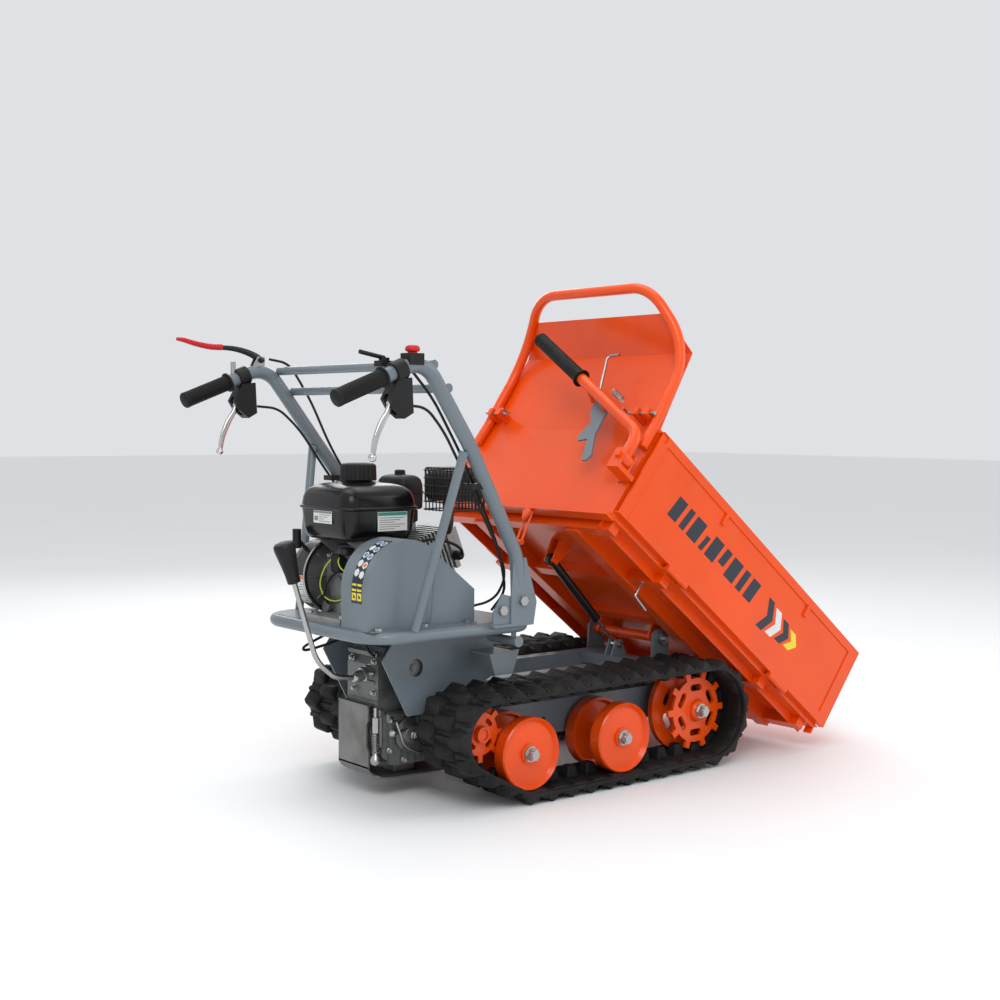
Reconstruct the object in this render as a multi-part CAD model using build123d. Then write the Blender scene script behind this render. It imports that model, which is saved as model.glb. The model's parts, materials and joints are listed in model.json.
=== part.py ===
"""Tracked power wheelbarrow with a tipping bed, shown with the bed tipped forward.

Units are millimetres.  +X is forward, +Y is the machine's left and +Z is up; the tracks stand on Z = 0.
Bed pieces are drawn in the bed's own frame (u forward along the floor, b to the left, w up from the
floor) and are then laid at the tipping angle, so every bed size is a plain length.
"""
from build123d import *
import math
import os

# ---------------------------------------------------------------- driving dimensions
# bed
bed_tilt = 38.4            # degrees, front down
bed_length = 958.0
bed_half_width = 335.0
bed_side_height = 241.6
sheet = 2.5                # bed sheet metal
bed_rear_x = 8.5           # rear edge of the floor when tipped
bed_rear_z = 642.3
pivot_u = 496.0            # bed pivot along the floor
pivot_drop = 43.7          # bed pivot below the floor
pivot_tube_d = 26.0
pivot_pin_d = 16.0
pivot_tube_half = 117.5    # half length of the pivot tube
rear_panel_kink_w = 465.0
rear_panel_kink_u = -20.0
rear_panel_top_u = -103.0
rear_panel_top_w = 524.0
guard_top_u = -158.0
guard_top_w = 563.0
guard_kink_half = 306.0
guard_top_half = 206.0
guard_d = 26.0
panel_gap = 1.0            # clearance round the folding panels
hinge_pin_d = 8.0
floor_channel_drop = 34.0  # depth of the members under the floor

# tracks and wheels
track_mid_y = 233.6
track_width = 180.0
belt_thick = 9.0
lug_height = 16.4
track_pitch = 60.0
guide_width = 30.0
guide_height = 26.0
roller_r = 83.0
roller_x = (-204.0, 83.0)
roller_rim = 32.0          # width of each half of a roller
roller_half = 61.4         # outer face of a roller from the track's middle
idler_x = 362.0
idler_z = 137.0
idler_belt_r = 107.0
idler_tooth_r = 97.0
idler_teeth = 10
sprocket_x = -322.0
sprocket_z = 163.0
sprocket_belt_r = 75.0
sprocket_tooth_r = 64.0
sprocket_teeth = 8
disc_offset = 24.0         # toothed disc from the track's middle
disc_thick = 8.0
wheel_clear = 0.3
axle_d = 20.0
running = 0.05             # radial running clearance
drive_shaft_d = 26.0

# chassis
rail_half = 165.0          # outer face of a track-frame rail
rail_width = 40.0
rail_low = 113.0
rail_high = 193.0
rail_rear = -255.0
rail_front = 335.0
beam_outer = 118.0
beam_width = 36.0
beam_low = 193.0
beam_high = 250.0
beam_rear = -330.0
beam_front = 412.0
pivot_plate = 6.0
deck_z = 390.0             # centre of the deck's tube loop
deck_tube_d = 27.0
deck_rear = -587.0
deck_front = -163.0
deck_half = 235.0
deck_plate = 5.0
deck_rear_corner = 85.0
deck_front_corner = 48.0
deck_weld = 5.5             # plate edge inside the loop's centre line
deck_top = 403.5

# handlebars
bar_d = 32.0
bar_grip_start = (-624.0, 321.0, 941.0)
bar_grip_end = (-736.0, 321.0, 897.0)
bar_top = (-527.0, 321.0, 979.0)
bar_middle = (-397.0, 307.0, 802.0)
bar_low = (-222.0, 258.0, 549.0)
bar_foot = (-208.0, 246.0, 430.0)
grip_d = 37.0
grip_length = 126.0
brace_d = 20.0
brace_foot = (-486.0, 235.0, 402.0)
crossbar_d = 20.0
crossbar_high = (-494.0, 969.0)
crossbar_low = (-456.0, 921.0)
lever_pivot = (-606.0, 890.0)
lever_tip = (-652.0, 778.0)
lever_y = 318.0

# engine
crank_x = -462.0
crank_z = 511.0
tank_box = (-560.0, -352.0, -82.0, 138.0, 583.0, 712.0)
filter_box = (-352.0, -276.0, 8.0, 124.0, 645.0, 726.0)
muffler_box = (-338.0, -256.0, -178.0, -72.0, 672.0, 738.0)
cover_y = -200.0
cover_depth = 100.0
cover_rear = -585.0
cover_front = -297.0
cover_top = 596.0
input_x = -400.0           # gearbox input shaft
input_z = 300.0

# gas strut
strut_low = (313.0, 278.0)
strut_high = (92.0, 509.0)
strut_y = -15.0

# ---------------------------------------------------------------- frames
tilt = math.radians(bed_tilt)
pivot_x = bed_rear_x + pivot_u * math.cos(tilt) - pivot_drop * math.sin(tilt)
pivot_z = bed_rear_z - pivot_u * math.sin(tilt) - pivot_drop * math.cos(tilt)
bed_plane = Plane(
    origin=(bed_rear_x, 0, bed_rear_z),
    x_dir=(math.cos(tilt), 0, -math.sin(tilt)),
    z_dir=(math.sin(tilt), 0, math.cos(tilt)),
)
drive_tip_x = -763.0
bed_front_x = bed_rear_x + bed_length * math.cos(tilt) + bed_side_height * math.sin(tilt)
middle_x = (drive_tip_x + bed_front_x) / 2
track_inner = track_mid_y - track_width / 2
track_outer = track_mid_y + track_width / 2
ground_in_z = belt_thick + lug_height      # inside of the belt on its ground run


# ---------------------------------------------------------------- helpers
def box(x0, x1, y0, y1, z0, z1):
    """Block between two corners."""
    return Pos((x0 + x1) / 2, (y0 + y1) / 2, (z0 + z1) / 2) * Box(x1 - x0, y1 - y0, z1 - z0)


def side_plate(points, y0, y1):
    """Plate drawn as (x, z) points and extruded from y0 to y1."""
    plane = Plane(origin=(0, y0, 0), x_dir=(1, 0, 0), z_dir=(0, -1, 0))
    return extrude(plane * make_face(Polyline(*points, close=True)), amount=y0 - y1)


def rod(start, end, diameter):
    """Straight round bar between two points."""
    a, b = Vector(*start), Vector(*end)
    return extrude(Plane(origin=a, z_dir=b - a) * Circle(diameter / 2), amount=(b - a).length)


def bent_tube(points, bend, diameter):
    """Round bar along straight runs joined by bends of one radius or a list of radii."""
    path = FilletPolyline(*points, radius=bend)
    return sweep(Plane(origin=path @ 0, z_dir=path % 0) * Circle(diameter / 2), path=path)


def disc(x, z, radius, y0, y1):
    """Round disc across the machine."""
    return rod((x, y0, z), (x, y1, z), 2 * radius)


def turned(x, z, profile):
    """Turn a closed (radius, y) outline about the cross axis through (x, z)."""
    plane = Plane(origin=(x, 0, z), x_dir=(1, 0, 0), z_dir=(0, 0, 1))
    face = plane * make_face(Polyline(*profile, close=True))
    return revolve(face, axis=Axis((x, 0, z), (0, 1, 0)))


def hexagon(x, z, across, y0, y1):
    """Hexagon bolt head or nut across the machine."""
    plane = Plane(origin=(x, y0, z), x_dir=(1, 0, 0), z_dir=(0, 1, 0))
    return extrude(plane * RegularPolygon(across / 2, 6, major_radius=False), amount=y1 - y0)


def mirrored(shape):
    """Same piece on the machine's other side."""
    return mirror(shape, about=Plane.XZ)


def both(shape):
    """Piece and its mirror image."""
    return [shape, mirrored(shape)]


def flat(items):
    """One list from shapes and lists of shapes."""
    out = []
    for item in items:
        out.extend(flat(item) if isinstance(item, (list, tuple)) else [item])
    return out


def joined(*items):
    """Fuse shapes to one solid."""
    pieces = flat(items)
    return pieces[0].fuse(*pieces[1:]).clean() if len(pieces) > 1 else pieces[0]


def group(*items):
    """Keep shapes as separate solids in one node."""
    return Compound(children=[solid for item in flat(items) for solid in item.solids()])


def bed(shape):
    """Lay a shape drawn in the bed's frame at the tipping angle."""
    return bed_plane.location * shape


# ---------------------------------------------------------------- tracks
def track_loop(offset):
    """Closed belt outline at a distance outside the wheels."""
    wheels = [
        (sprocket_x, sprocket_z, sprocket_belt_r + offset),
        (roller_x[0], ground_in_z + roller_r, roller_r + offset),
        (roller_x[1], ground_in_z + roller_r, roller_r + offset),
        (idler_x, idler_z, idler_belt_r + offset),
    ]
    faces = [Pos(x, z) * Circle(r) for x, z, r in wheels]
    outline = faces[0]
    for a, b in ((0, 1), (1, 2), (2, 3), (3, 0)):
        outline = outline + make_hull((faces[a] + faces[b]).edges())
    centre = [(x, z) for x, z, _ in wheels]
    return outline + make_face(Polyline(*centre, close=True))


def belt_points(offset, phase):
    """Places and headings, one pitch apart, on the belt outline."""
    wire = track_loop(offset).wire()
    count = round(wire.length / track_pitch)
    places = []
    for i in range(count):
        s = ((i + phase) / count) % 1.0
        places.append((wire @ s, wire % s))
    return places


def lug_row(offset, height, foot, tip, y0, y1, phase):
    """Row of blocks standing on the belt; a negative height points inward."""
    wire_face = track_loop(offset)
    middle = wire_face.center()
    blocks = []
    for place, heading in belt_points(offset, phase):
        out = Vector(heading.Y, -heading.X, 0)
        if out.dot(place - middle) < 0:
            out = out * -1
        along = Vector(heading.X, heading.Y, 0)
        root = place - out * (1.5 if height > 0 else -1.5)
        top = place + out * height
        corners = [
            root - along * (foot / 2),
            root + along * (foot / 2),
            top + along * (tip / 2),
            top - along * (tip / 2),
        ]
        blocks.append(side_plate([(c.X, c.Y) for c in corners], y0, y1))
    return blocks


def make_track(side):
    """Rubber track of one side with its ground lugs and inner guide blocks."""
    y0, y1 = (track_inner, track_outer) if side > 0 else (-track_outer, -track_inner)
    middle = side * track_mid_y
    plane = Plane(origin=(0, y0, 0), x_dir=(1, 0, 0), z_dir=(0, -1, 0))
    belt = extrude(plane * (track_loop(belt_thick) - track_loop(0.0)), amount=y0 - y1)
    outer = lug_row(belt_thick, lug_height, 40.0, 10.0, y0, y0 + 62.0, 0.0)
    inner = lug_row(belt_thick, lug_height, 40.0, 10.0, y1 - 62.0, y1, 0.0)
    centre = lug_row(belt_thick, lug_height - 0.6, 36.0, 18.0, middle - 36.0, middle + 36.0, 0.5)
    guides = lug_row(0.0, -guide_height, 34.0, 24.0, middle - guide_width / 2, middle + guide_width / 2, 0.0)
    return joined(belt, outer, inner, centre, guides)


# ---------------------------------------------------------------- wheels
def roller_profile(mid):
    """Half section of a track roller: two dished rims on one hub, bored for the axle."""
    bore = axle_d / 2 + running
    out = mid - roller_half
    inner = mid + roller_half
    hub = 23.0
    web = 5.0
    dish = 11.0
    lip = 6.0
    return [
        (bore, out + 6), (hub, out + 6), (hub, out + dish), (roller_r - lip - 5, out + dish),
        (roller_r - lip, out + 4), (roller_r - 3, out), (roller_r, out + 3), (roller_r, out + roller_rim),
        (roller_r - lip, out + roller_rim), (roller_r - lip, out + dish + web + 3),
        (roller_r - lip - 6, out + dish + web), (hub, out + dish + web),
        (hub, inner - dish - web), (roller_r - lip - 6, inner - dish - web),
        (roller_r - lip, inner - dish - web - 3), (roller_r - lip, inner - roller_rim),
        (roller_r, inner - roller_rim), (roller_r, inner - 3), (roller_r - 3, inner),
        (roller_r - lip, inner - 4), (roller_r - lip - 5, inner - dish), (hub, inner - dish),
        (hub, inner - 6), (bore, inner - 6),
    ]


def make_roller(x, side):
    """Track roller with its rims at the belt's inside."""
    profile = roller_profile(-track_mid_y)
    wheel = turned(x, ground_in_z + roller_r, [(r - wheel_clear if r > 60 else r, y) for r, y in profile])
    return wheel if side < 0 else mirrored(wheel)


def toothed_disc(x, z, tip_r, teeth, depth, y0, y1):
    """Plate wheel with blunt teeth and oval windows."""
    root_r = tip_r - depth
    plane = Plane(origin=(x, y0, z), x_dir=(1, 0, 0), z_dir=(0, 1, 0))
    plate = Circle(root_r)
    half = math.pi * root_r / teeth / 2
    for i in range(teeth):
        plate += Rot(0, 0, 360 / teeth * i) * Pos(root_r + depth / 2 - 2, 0) * Rectangle(depth + 4, 1.25 * half)
    return extrude(plane * plate, amount=y1 - y0)


def windows(x, z, count, middle_r, length, width, y0, y1):
    """Cutters for the oval windows of a wheel."""
    plane = Plane(origin=(x, y0, z), x_dir=(1, 0, 0), z_dir=(0, 1, 0))
    cuts = []
    for i in range(count):
        slot = Rot(0, 0, 360 / count * (i + 0.5)) * Pos(middle_r, 0) * Rot(0, 0, 90) * SlotOverall(length, width)
        cuts.append(extrude(plane * slot, amount=y1 - y0))
    return cuts


def make_idler(side):
    """Front idler: toothed plate outboard, smooth rim inboard, on a stepped hub."""
    face = -track_mid_y - disc_offset
    plate = toothed_disc(idler_x, idler_z, idler_tooth_r, idler_teeth, 17.0, face, face + disc_thick)
    back = -track_mid_y + disc_offset
    rim_r = idler_belt_r - wheel_clear
    rim = turned(idler_x, idler_z, [(20, back), (rim_r, back), (rim_r, back + 14), (rim_r - 7, back + 14),
                                    (rim_r - 7, back + 6), (20, back + 6)])
    plate = plate - windows(idler_x, idler_z, 6, 56.0, 40.0, 17.0, face - 1, face + disc_thick + 1)
    rim = rim - windows(idler_x, idler_z, 6, 60.0, 44.0, 20.0, back - 1, back + 15)
    hub = turned(idler_x, idler_z, [(5, face - 16), (21, face - 16), (25, face - 12), (27, face - 2),
                                    (33, face + 2), (33, back + 4), (24, back + 26), (5, back + 26)])
    bore = disc(idler_x, idler_z, axle_d / 2 + running, face - 20, back + 30)
    wheel = joined(plate, rim, hub) - bore
    return wheel if side < 0 else mirrored(wheel)


def make_sprocket(side):
    """Rear drive sprocket keyed to its half shaft."""
    face = -track_mid_y - disc_offset
    plate = toothed_disc(sprocket_x, sprocket_z, sprocket_tooth_r, sprocket_teeth, 16.0, face, face + disc_thick)
    back = -track_mid_y + guide_width / 2 + 1.2
    rim_r = sprocket_belt_r - wheel_clear
    rim = disc(sprocket_x, sprocket_z, rim_r, back, back + disc_thick)
    plate = plate - windows(sprocket_x, sprocket_z, 4, 33.0, 22.0, 11.0, face - 1, face + disc_thick + 1)
    hub = turned(sprocket_x, sprocket_z, [(5, face - 12), (17, face - 12), (20, face), (20, back + 16),
                                          (5, back + 16)])
    bore = disc(sprocket_x, sprocket_z, drive_shaft_d / 2, face - 20, back + 20)
    wheel = joined(plate, rim, hub) - bore
    shaft = disc(sprocket_x, sprocket_z, drive_shaft_d / 2, face - 8, -gearbox_half + 4)
    wheel = group(wheel, shaft)
    return wheel if side < 0 else mirrored(wheel)


def make_axles():
    """Fixed wheel axles with washers and domed nuts."""
    face_roller = -track_mid_y - roller_half
    pieces = []
    for x, z, face in (
        (roller_x[0], ground_in_z + roller_r, face_roller + 6),
        (roller_x[1], ground_in_z + roller_r, face_roller + 6),
        (idler_x, idler_z, -track_mid_y - disc_offset - 16),
    ):
        axle = disc(x, z, axle_d / 2, face - 0.3, -rail_half)
        washer = disc(x, z, 18.0, face - 3.3, face - 0.3)
        nut = hexagon(x, z, 26.0, face - 15.3, face - 3.3)
        dome = disc(x, z, 10.5, face - 19.3, face - 15.3)
        pieces.append(joined(axle, washer, nut, dome))
    return group(*[both(piece) for piece in pieces])


# ---------------------------------------------------------------- chassis
gearbox_half = 88.0


def make_track_frames():
    """Grey rail of each side with the idler's tension slide."""
    rail = box(rail_rear, rail_front, -rail_half, -rail_half + rail_width, rail_low, rail_high)
    slide = box(rail_front, idler_x + 22, -rail_half, -rail_half + rail_width - 14, idler_z - 20, idler_z + 20)
    hole = disc(-60, 150, 6, -rail_half - 1, -rail_half + 12)
    return group(*both(joined(rail, slide) - hole))


def make_chassis():
    """Centre frame: two beams, cross members, side plates, pivot plates and the catch bracket."""
    pieces = []
    for side in (-1, 1):
        inner, outer = sorted((side * (beam_outer - beam_width), side * beam_outer))
        pieces.append(box(beam_rear, beam_front, inner, outer, beam_low, beam_high))
    reach = rail_half - rail_width
    for x in (-150, 0, 210):
        pieces.append(box(x - 25, x + 25, -reach, reach, rail_low + 8, rail_high))
    inside = beam_outer - beam_width
    pieces.append(box(strut_low[0] - 28, strut_low[0] + 28, -inside, inside, beam_high - 30, beam_high))
    plate_front = deck_front - deck_tube_d / 2 - 2
    plate = [(-492, 322), (-462, 362), (-462, deck_z), (plate_front, deck_z), (plate_front, 262), (-330, 193),
             (-424, 193)]
    for side in (-1, 1):
        near, far = sorted((side * beam_outer, side * (beam_outer + 4)))
        pieces.append(side_plate(plate, near, far))
        lug = [(pivot_x - 34, 200), (pivot_x + 34, 200), (pivot_x + 26, pivot_z + 14),
               (pivot_x + 14, pivot_z + 24), (pivot_x - 14, pivot_z + 24), (pivot_x - 26, pivot_z + 14)]
        near, far = sorted((side * beam_outer, side * (beam_outer + pivot_plate)))
        pieces.append(side_plate(lug, near, far))
        x, z = strut_low
        ear = [(x - 26, beam_high), (x + 26, beam_high), (x + 10, z + 12), (x - 10, z + 12)]
        near, far = sorted((strut_y + side * 9, strut_y + side * 14))
        pieces.append(side_plate(ear, near, far))
    web = [(-252, 326), (-165, 330), (-184, 277), (-236, 277)]
    pieces.append(side_plate(web, -200, -196))
    pieces.append(box(-250, -175, -200, -beam_outer - 3, 322, 327))
    frame = joined(*pieces)
    holes = [disc(pivot_x, pivot_z, pivot_pin_d / 2, -140, 140)]
    holes.append(disc(*strut_low, 4.0, strut_y - 20, strut_y + 20))
    holes.append(disc(input_x, input_z, 20, -140, -100))
    return frame - holes


def deck_outline():
    """Centre line of the deck's tube loop, with larger corners at the rear."""
    outline = Pos((deck_front + deck_rear) / 2, 0) * Rectangle(deck_front - deck_rear, 2 * deck_half)
    outline = fillet(outline.vertices().sort_by(Axis.X)[:2], deck_rear_corner)
    return fillet(outline.vertices().sort_by(Axis.X)[-2:], deck_front_corner)


def make_deck_tube():
    """Tube loop round the engine deck, with the hook's catch peg under its front corner."""
    r = deck_tube_d / 2
    path = (Pos(0, 0, deck_z) * deck_outline()).wire()
    loop = sweep(Plane(origin=path @ 0, z_dir=path % 0) * Circle(r), path=path)
    peg = rod((-211, -150, 358), (-211, -250, 358), 20)
    cap = rod((-211, -250, 358), (-211, -254, 358), 25)
    post = rod((-211, -deck_half, 360), (-211, -deck_half, deck_z), 12)
    return joined(loop, peg, cap, post)


def make_deck():
    """Engine deck: plate welded inside its tube loop and bolted to the chassis side plates."""
    inside = Pos(0, 0, deck_top - deck_plate) * offset(deck_outline(), amount=-deck_weld)
    plate = extrude(inside, amount=deck_plate)
    belt_slot = box(crank_x - 60, input_x + 70, pulley_y - 14, pulley_y + 14, deck_top - 10, deck_top + 10)
    plate = plate - belt_slot
    tabs = []
    for x in (-500, -230):
        tabs += both(box(x - 22, x + 22, beam_outer + 4, beam_outer + 40, deck_top - 30, deck_top - deck_plate))
    return joined(make_deck_tube(), plate, tabs)


def make_bar(side):
    """One handlebar tube from its grip end down to its foot."""
    points = [bar_grip_end, bar_top, bar_middle, bar_low, bar_foot]
    tube = bent_tube([(x, side * y, z) for x, y, z in points], [62.0, 300.0, 110.0], bar_d)
    return tube


def make_handlebars():
    """Two handlebar tubes with their braces and the two crossbars between them."""
    bars = [make_bar(-1), make_bar(1)]
    reach = bar_top[1] - 8
    cross = [rod((x, -reach, z), (x, reach, z), crossbar_d) for x, z in (crossbar_high, crossbar_low)]
    return joined(bars, cross, make_braces())


def make_braces():
    """Straight brace of each side, from the deck loop up to the handlebar."""
    x, y, z = bar_middle
    foot = brace_foot
    brace = rod(foot, (x - 10, y - 4, z - 14), brace_d)
    return both(mirrored(brace))


def make_bar_brackets():
    """Folded foot bracket of each handlebar, standing on the deck loop."""
    x, y, z = bar_foot
    outer = -y - bar_d / 2 - 4
    web = [(x - 36, deck_z + 10), (x + 30, deck_z + 10), (x + 38, z + 18), (x + 6, z + 118), (x - 30, z + 118),
           (x - 36, z + 20)]
    wall = side_plate(web, outer, outer + 4)
    back = box(x + 18, x + 22, outer, -y + bar_d / 2, deck_z + 12, z + 70)
    toe = [(x - 84, deck_top - 4), (x - 34, deck_top - 4), (x - 34, z + 34), (x - 58, z + 40), (x - 84, z)]
    lug = side_plate(toe, outer + 4, outer + 8)
    sole = box(x - 84, x + 30, outer, -y + bar_d / 2, deck_z + 6, deck_z + 12)
    bracket = joined(wall, back, lug, sole) - rod(tuple([bar_low[0], -bar_low[1], bar_low[2]]),
                                                  tuple([x, -y, z]), bar_d)
    return group(*both(bracket))


def make_grips():
    """Ribbed rubber grips, closed at the end."""
    a, b = Vector(*bar_grip_start), Vector(*bar_grip_end)
    along = (b - a).normalized()
    start = a + along * 3
    end = start + along * grip_length
    grip = rod(start, end, grip_d)
    flange = rod(start, (start + along * 5), grip_d + 8)
    bore = rod(a - along * 20, b + along * 0.3, bar_d)
    grip = joined(grip, flange) - bore
    return group(*both(grip))


# ---------------------------------------------------------------- controls
def bar_direction():
    """Unit vector along the grip, pointing forward and up."""
    return (Vector(*bar_grip_start) - Vector(*bar_grip_end)).normalized()


def make_perches():
    """Clamp and moulded housing of each steering lever."""
    along = bar_direction()
    a = Vector(*bar_grip_start) + along * 34
    clamp = rod((a - along * 14), (a + along * 14), bar_d + 12)
    hollow = rod((a - along * 20), (a + along * 20), bar_d)
    x, z = lever_pivot
    case = [(x - 16, z + 6), (x + 6, z + 46), (x + 40, z + 50), (x + 44, z - 22), (x + 22, z - 34), (x - 2, z - 16)]
    body = side_plate(case, lever_y - 17, lever_y + 17)
    slot = box(x - 40, x + 14, lever_y - 7.5, lever_y + 7.5, z - 40, z + 16)
    pin = disc(x, z, 4.0, lever_y - 16, lever_y + 16)
    perch = joined(clamp, body) - hollow - slot
    return group(*both(perch), *both(pin))


def make_steer_lever(side):
    """Cast steering clutch lever with a ball end."""
    x, z = lever_pivot
    tx, tz = lever_tip
    eye = disc(x, z, 9.0, lever_y - 6, lever_y + 6)
    blade = bent_tube([(x - 2, lever_y, z - 4), (x - 30, lever_y, z - 48), (tx + 4, lever_y, tz + 20),
                       (tx, lever_y, tz)], [50.0, 30.0], 11.0)
    ball = Pos(tx, lever_y, tz) * Sphere(8.0)
    lever = joined(eye, blade, ball) - disc(x, z, 4.0 + running, lever_y - 20, lever_y + 20)
    return lever if side > 0 else mirrored(lever)


drive_pivot = (-545.0, 994.0)
drive_joint = (-653.0, 1021.0)
drive_tip = (-760.0, 1036.0)
drive_y = 321.0


def make_drive_lever():
    """Flat drive lever over the left grip."""
    x, z = drive_pivot
    jx, jz = drive_joint
    blade = [(x + 9, z - 9), (x + 9, z + 6), (x - 30, z + 26), (jx + 4, jz + 8), (jx, jz - 8), (x - 60, z + 10),
             (x - 14, z - 9)]
    arm = side_plate(blade, drive_y - 5, drive_y + 5)
    return arm - disc(x, z, 4.0 + running, drive_y - 9, drive_y + 9)


def make_drive_sleeve():
    """Red moulded sleeve on the drive lever's outer half."""
    jx, jz = drive_joint
    tx, tz = drive_tip
    outline = [(jx + 2, jz + 9), (jx + 2, jz - 9), (tx + 20, tz - 10), (tx, tz - 6), (tx, tz + 5), (tx + 24, tz + 8)]
    return side_plate(outline, drive_y - 10, drive_y + 10) - make_drive_lever()


def make_drive_mount():
    """Bright bracket that carries the drive lever on the left handlebar."""
    x, z = drive_pivot
    ears = [side_plate([(x - 24, z - 22), (x + 10, z - 18), (x + 10, z + 8), (x - 10, z + 8)], y0, y0 + 3)
            for y0 in (drive_y - 9, drive_y + 6)]
    strap = box(x - 26, x + 8, drive_y - 9, drive_y + 9, z - 24, z - 17)
    pin = disc(x, z, 4.0, drive_y - 9, drive_y + 9)
    post = rod((-615, drive_y, 946), (-615, drive_y, 988), 12)
    clip = joined(ears, strap) - [make_bar(1)]
    return group(clip, pin, post - make_bar(1))


switch_x = -556.0
switch_z = 990.0


def make_switch_housing():
    """Stop switch housing on the right handlebar, and the throttle's pivot block beside it."""
    body = box(switch_x - 18, switch_x + 18, -321 - 17, -321 + 17, switch_z - 24, switch_z)
    well = Pos(switch_x, -321, switch_z - 4) * Cylinder(10.3, 8.2)
    block = box(-620, -588, -302, -276, 962, 974)
    arm = box(-604, -580, -312, -290, 946, 962)
    housing = body - make_bar(-1) - well
    return group(housing, joined(block, arm) - make_bar(-1))


def make_stop_button():
    """Red mushroom button of the stop switch."""
    stem = Pos(switch_x, -321, switch_z + 1) * Cylinder(10, 8)
    head = Pos(switch_x, -321, switch_z + 9) * Cylinder(13, 9)
    return joined(stem, head)


throttle_pivot = (-604.0, -289.0)


def make_throttle_lever():
    """Black thumb paddle of the throttle."""
    x, y = throttle_pivot
    boss = Pos(x, y, 977.3) * Cylinder(11, 6)
    paddle = rod((x, y, 980), (x - 66, y - 10, 990), 9)
    return joined(boss, paddle)


def make_cables():
    """Control cables clipped along the handlebars, each on a path of runs and large arcs."""
    routes = {
        "right_clutch": [(-560, -303, 884), (-505, -300, 880), (-452, -291, 830), (-372, -278, 712),
                         (-262, -246, 560), (-225, -222, 470), (-240, -190, 425)],
        "left_clutch": [(-560, 303, 884), (-505, 300, 880), (-452, 291, 830), (-372, 278, 712),
                        (-262, 246, 560), (-225, 222, 470), (-240, 190, 425)],
        "throttle": [(-582, -289, 968), (-540, -288, 962), (-478, -286, 900), (-398, -282, 778), (-330, -262, 680),
                     (-262, -232, 585), (-205, -200, 500), (-200, -150, 440), (-260, -120, 425)],
        "drive": [(-530, 299, 996), (-478, 297, 988), (-425, 288, 905), (-368, 275, 775), (-302, 256, 670),
                  (-235, 236, 570), (-200, 200, 480), (-215, 150, 430)],
    }
    cables = []
    for points in routes.values():
        radii = []
        for before, here, after in zip(points, points[1:], points[2:]):
            a, b = Vector(*here) - Vector(*before), Vector(*after) - Vector(*here)
            turn = math.radians(a.get_angle(b))
            radii.append(0.45 * min(a.length, b.length) / math.tan(turn / 2))
        cables.append(bent_tube(points, radii, 6.0))
    strap = box(-380, -330, 262, 296, 706, 718) - make_bar(1) - cables
    strap_right = box(-380, -330, -296, -262, 706, 718) - make_bar(-1) - cables
    return group(cables, joined(strap).solids(), joined(strap_right).solids())


# ---------------------------------------------------------------- engine
def make_engine_block():
    """Crankcase, its foot, the tank brackets and the crankshaft stub."""
    case = side_plate([(-505, deck_top), (-360, deck_top), (-346, 430), (-350, 545), (-400, 568), (-484, 568),
                       (-505, 535)], -72, 84)
    feet = box(-568, -324, -70, 80, deck_top, deck_top + 12)
    side_cover = disc(crank_x, crank_z - 8, 74, -88, -72)
    bracket = [(-496, 552), (-405, 560), (-390, tank_box[4]), (-535, tank_box[4])]
    brackets = [side_plate(bracket, y, y + 6) for y in (-50, 66)]
    shaft = disc(crank_x, crank_z, 10, -150, 120)
    return joined(case, feet, side_cover, brackets) - shaft


def make_cylinder():
    """Finned cylinder with its head cover, leaning forward."""
    lean = 22.0
    origin = Pos(-352, 6, 515) * Rot(0, 90 - lean, 0)
    core = origin * Pos(0, 0, 60) * Box(86, 92, 120)
    fins = [origin * Pos(0, 0, 22 + 11 * i) * Box(124 - 2 * i, 130 - 2 * i, 4) for i in range(8)]
    head = origin * Pos(0, 0, 118) * Box(104, 108, 12)
    cover = origin * Pos(0, 0, 138) * Box(74, 78, 30)
    plug = origin * Pos(20, -46, 116) * Rot(90, 0, 0) * Cylinder(9, 34)
    carburettor = box(-335, -296, 26, 82, 556, filter_box[4] - 32)
    return joined(core, fins, head, cover, plug, carburettor) - make_engine_block()


def make_tank():
    """Pressed fuel tank: two shells meeting at a seam flange, with a filler neck."""
    x0, x1, y0, y1, z0, z1 = tank_box
    seam = 656.0
    low = box(x0 + 12, x1 - 12, y0 + 12, y1 - 12, z0, seam)
    low = fillet(low.edges().filter_by(Axis.Z) + low.faces().sort_by(Axis.Z)[0].edges(), 14)
    high = box(x0 + 6, x1 - 6, y0 + 6, y1 - 6, seam, z1)
    high = fillet(high.edges().filter_by(Axis.Z) + high.faces().sort_by(Axis.Z)[-1].edges(), 20)
    flange = box(x0, x1, y0, y1, seam - 2, seam + 2)
    flange = fillet(flange.edges().filter_by(Axis.Z), 22)
    neck = Pos(-455, 30, z1 + 4) * Cylinder(30, 12)
    return joined(low, high, flange, neck)


cap_place = (-455.0, 30.0, tank_box[5] + 24)


def make_fuel_cap():
    """Ribbed fuel cap over the filler neck."""
    cap = Pos(*cap_place) * Cylinder(42, 40)
    hollow = Pos(*cap_place) * Pos(0, 0, -20) * Cylinder(30.2, 12.6)
    return cap - hollow


def make_air_filter():
    """Air filter case with its top knob."""
    x0, x1, y0, y1, z0, z1 = filter_box
    case = box(x0, x1, y0, y1, z0, z1)
    case = fillet(case.edges().filter_by(Axis.Z), 14)
    knob = Pos((x0 + x1) / 2, (y0 + y1) / 2, z1 + 6) * Cylinder(13, 12)
    duct = box(x0 + 10, x1 - 12, y0 + 14, y1 - 30, z0 - 32, z0)
    return joined(case, knob, duct) - make_cylinder()


def make_muffler():
    """Muffler box and its pipe down to the cylinder head."""
    x0, x1, y0, y1, z0, z1 = muffler_box
    case = box(x0, x1, y0, y1, z0, z1)
    case = fillet(case.edges().filter_by(Axis.Y), 14)
    pipe = bent_tube([(-292, -96, z0 + 4), (-292, -96, 620), (-262, -50, 600)], [20.0], 24)
    return joined(case, pipe) - make_cylinder()


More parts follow.
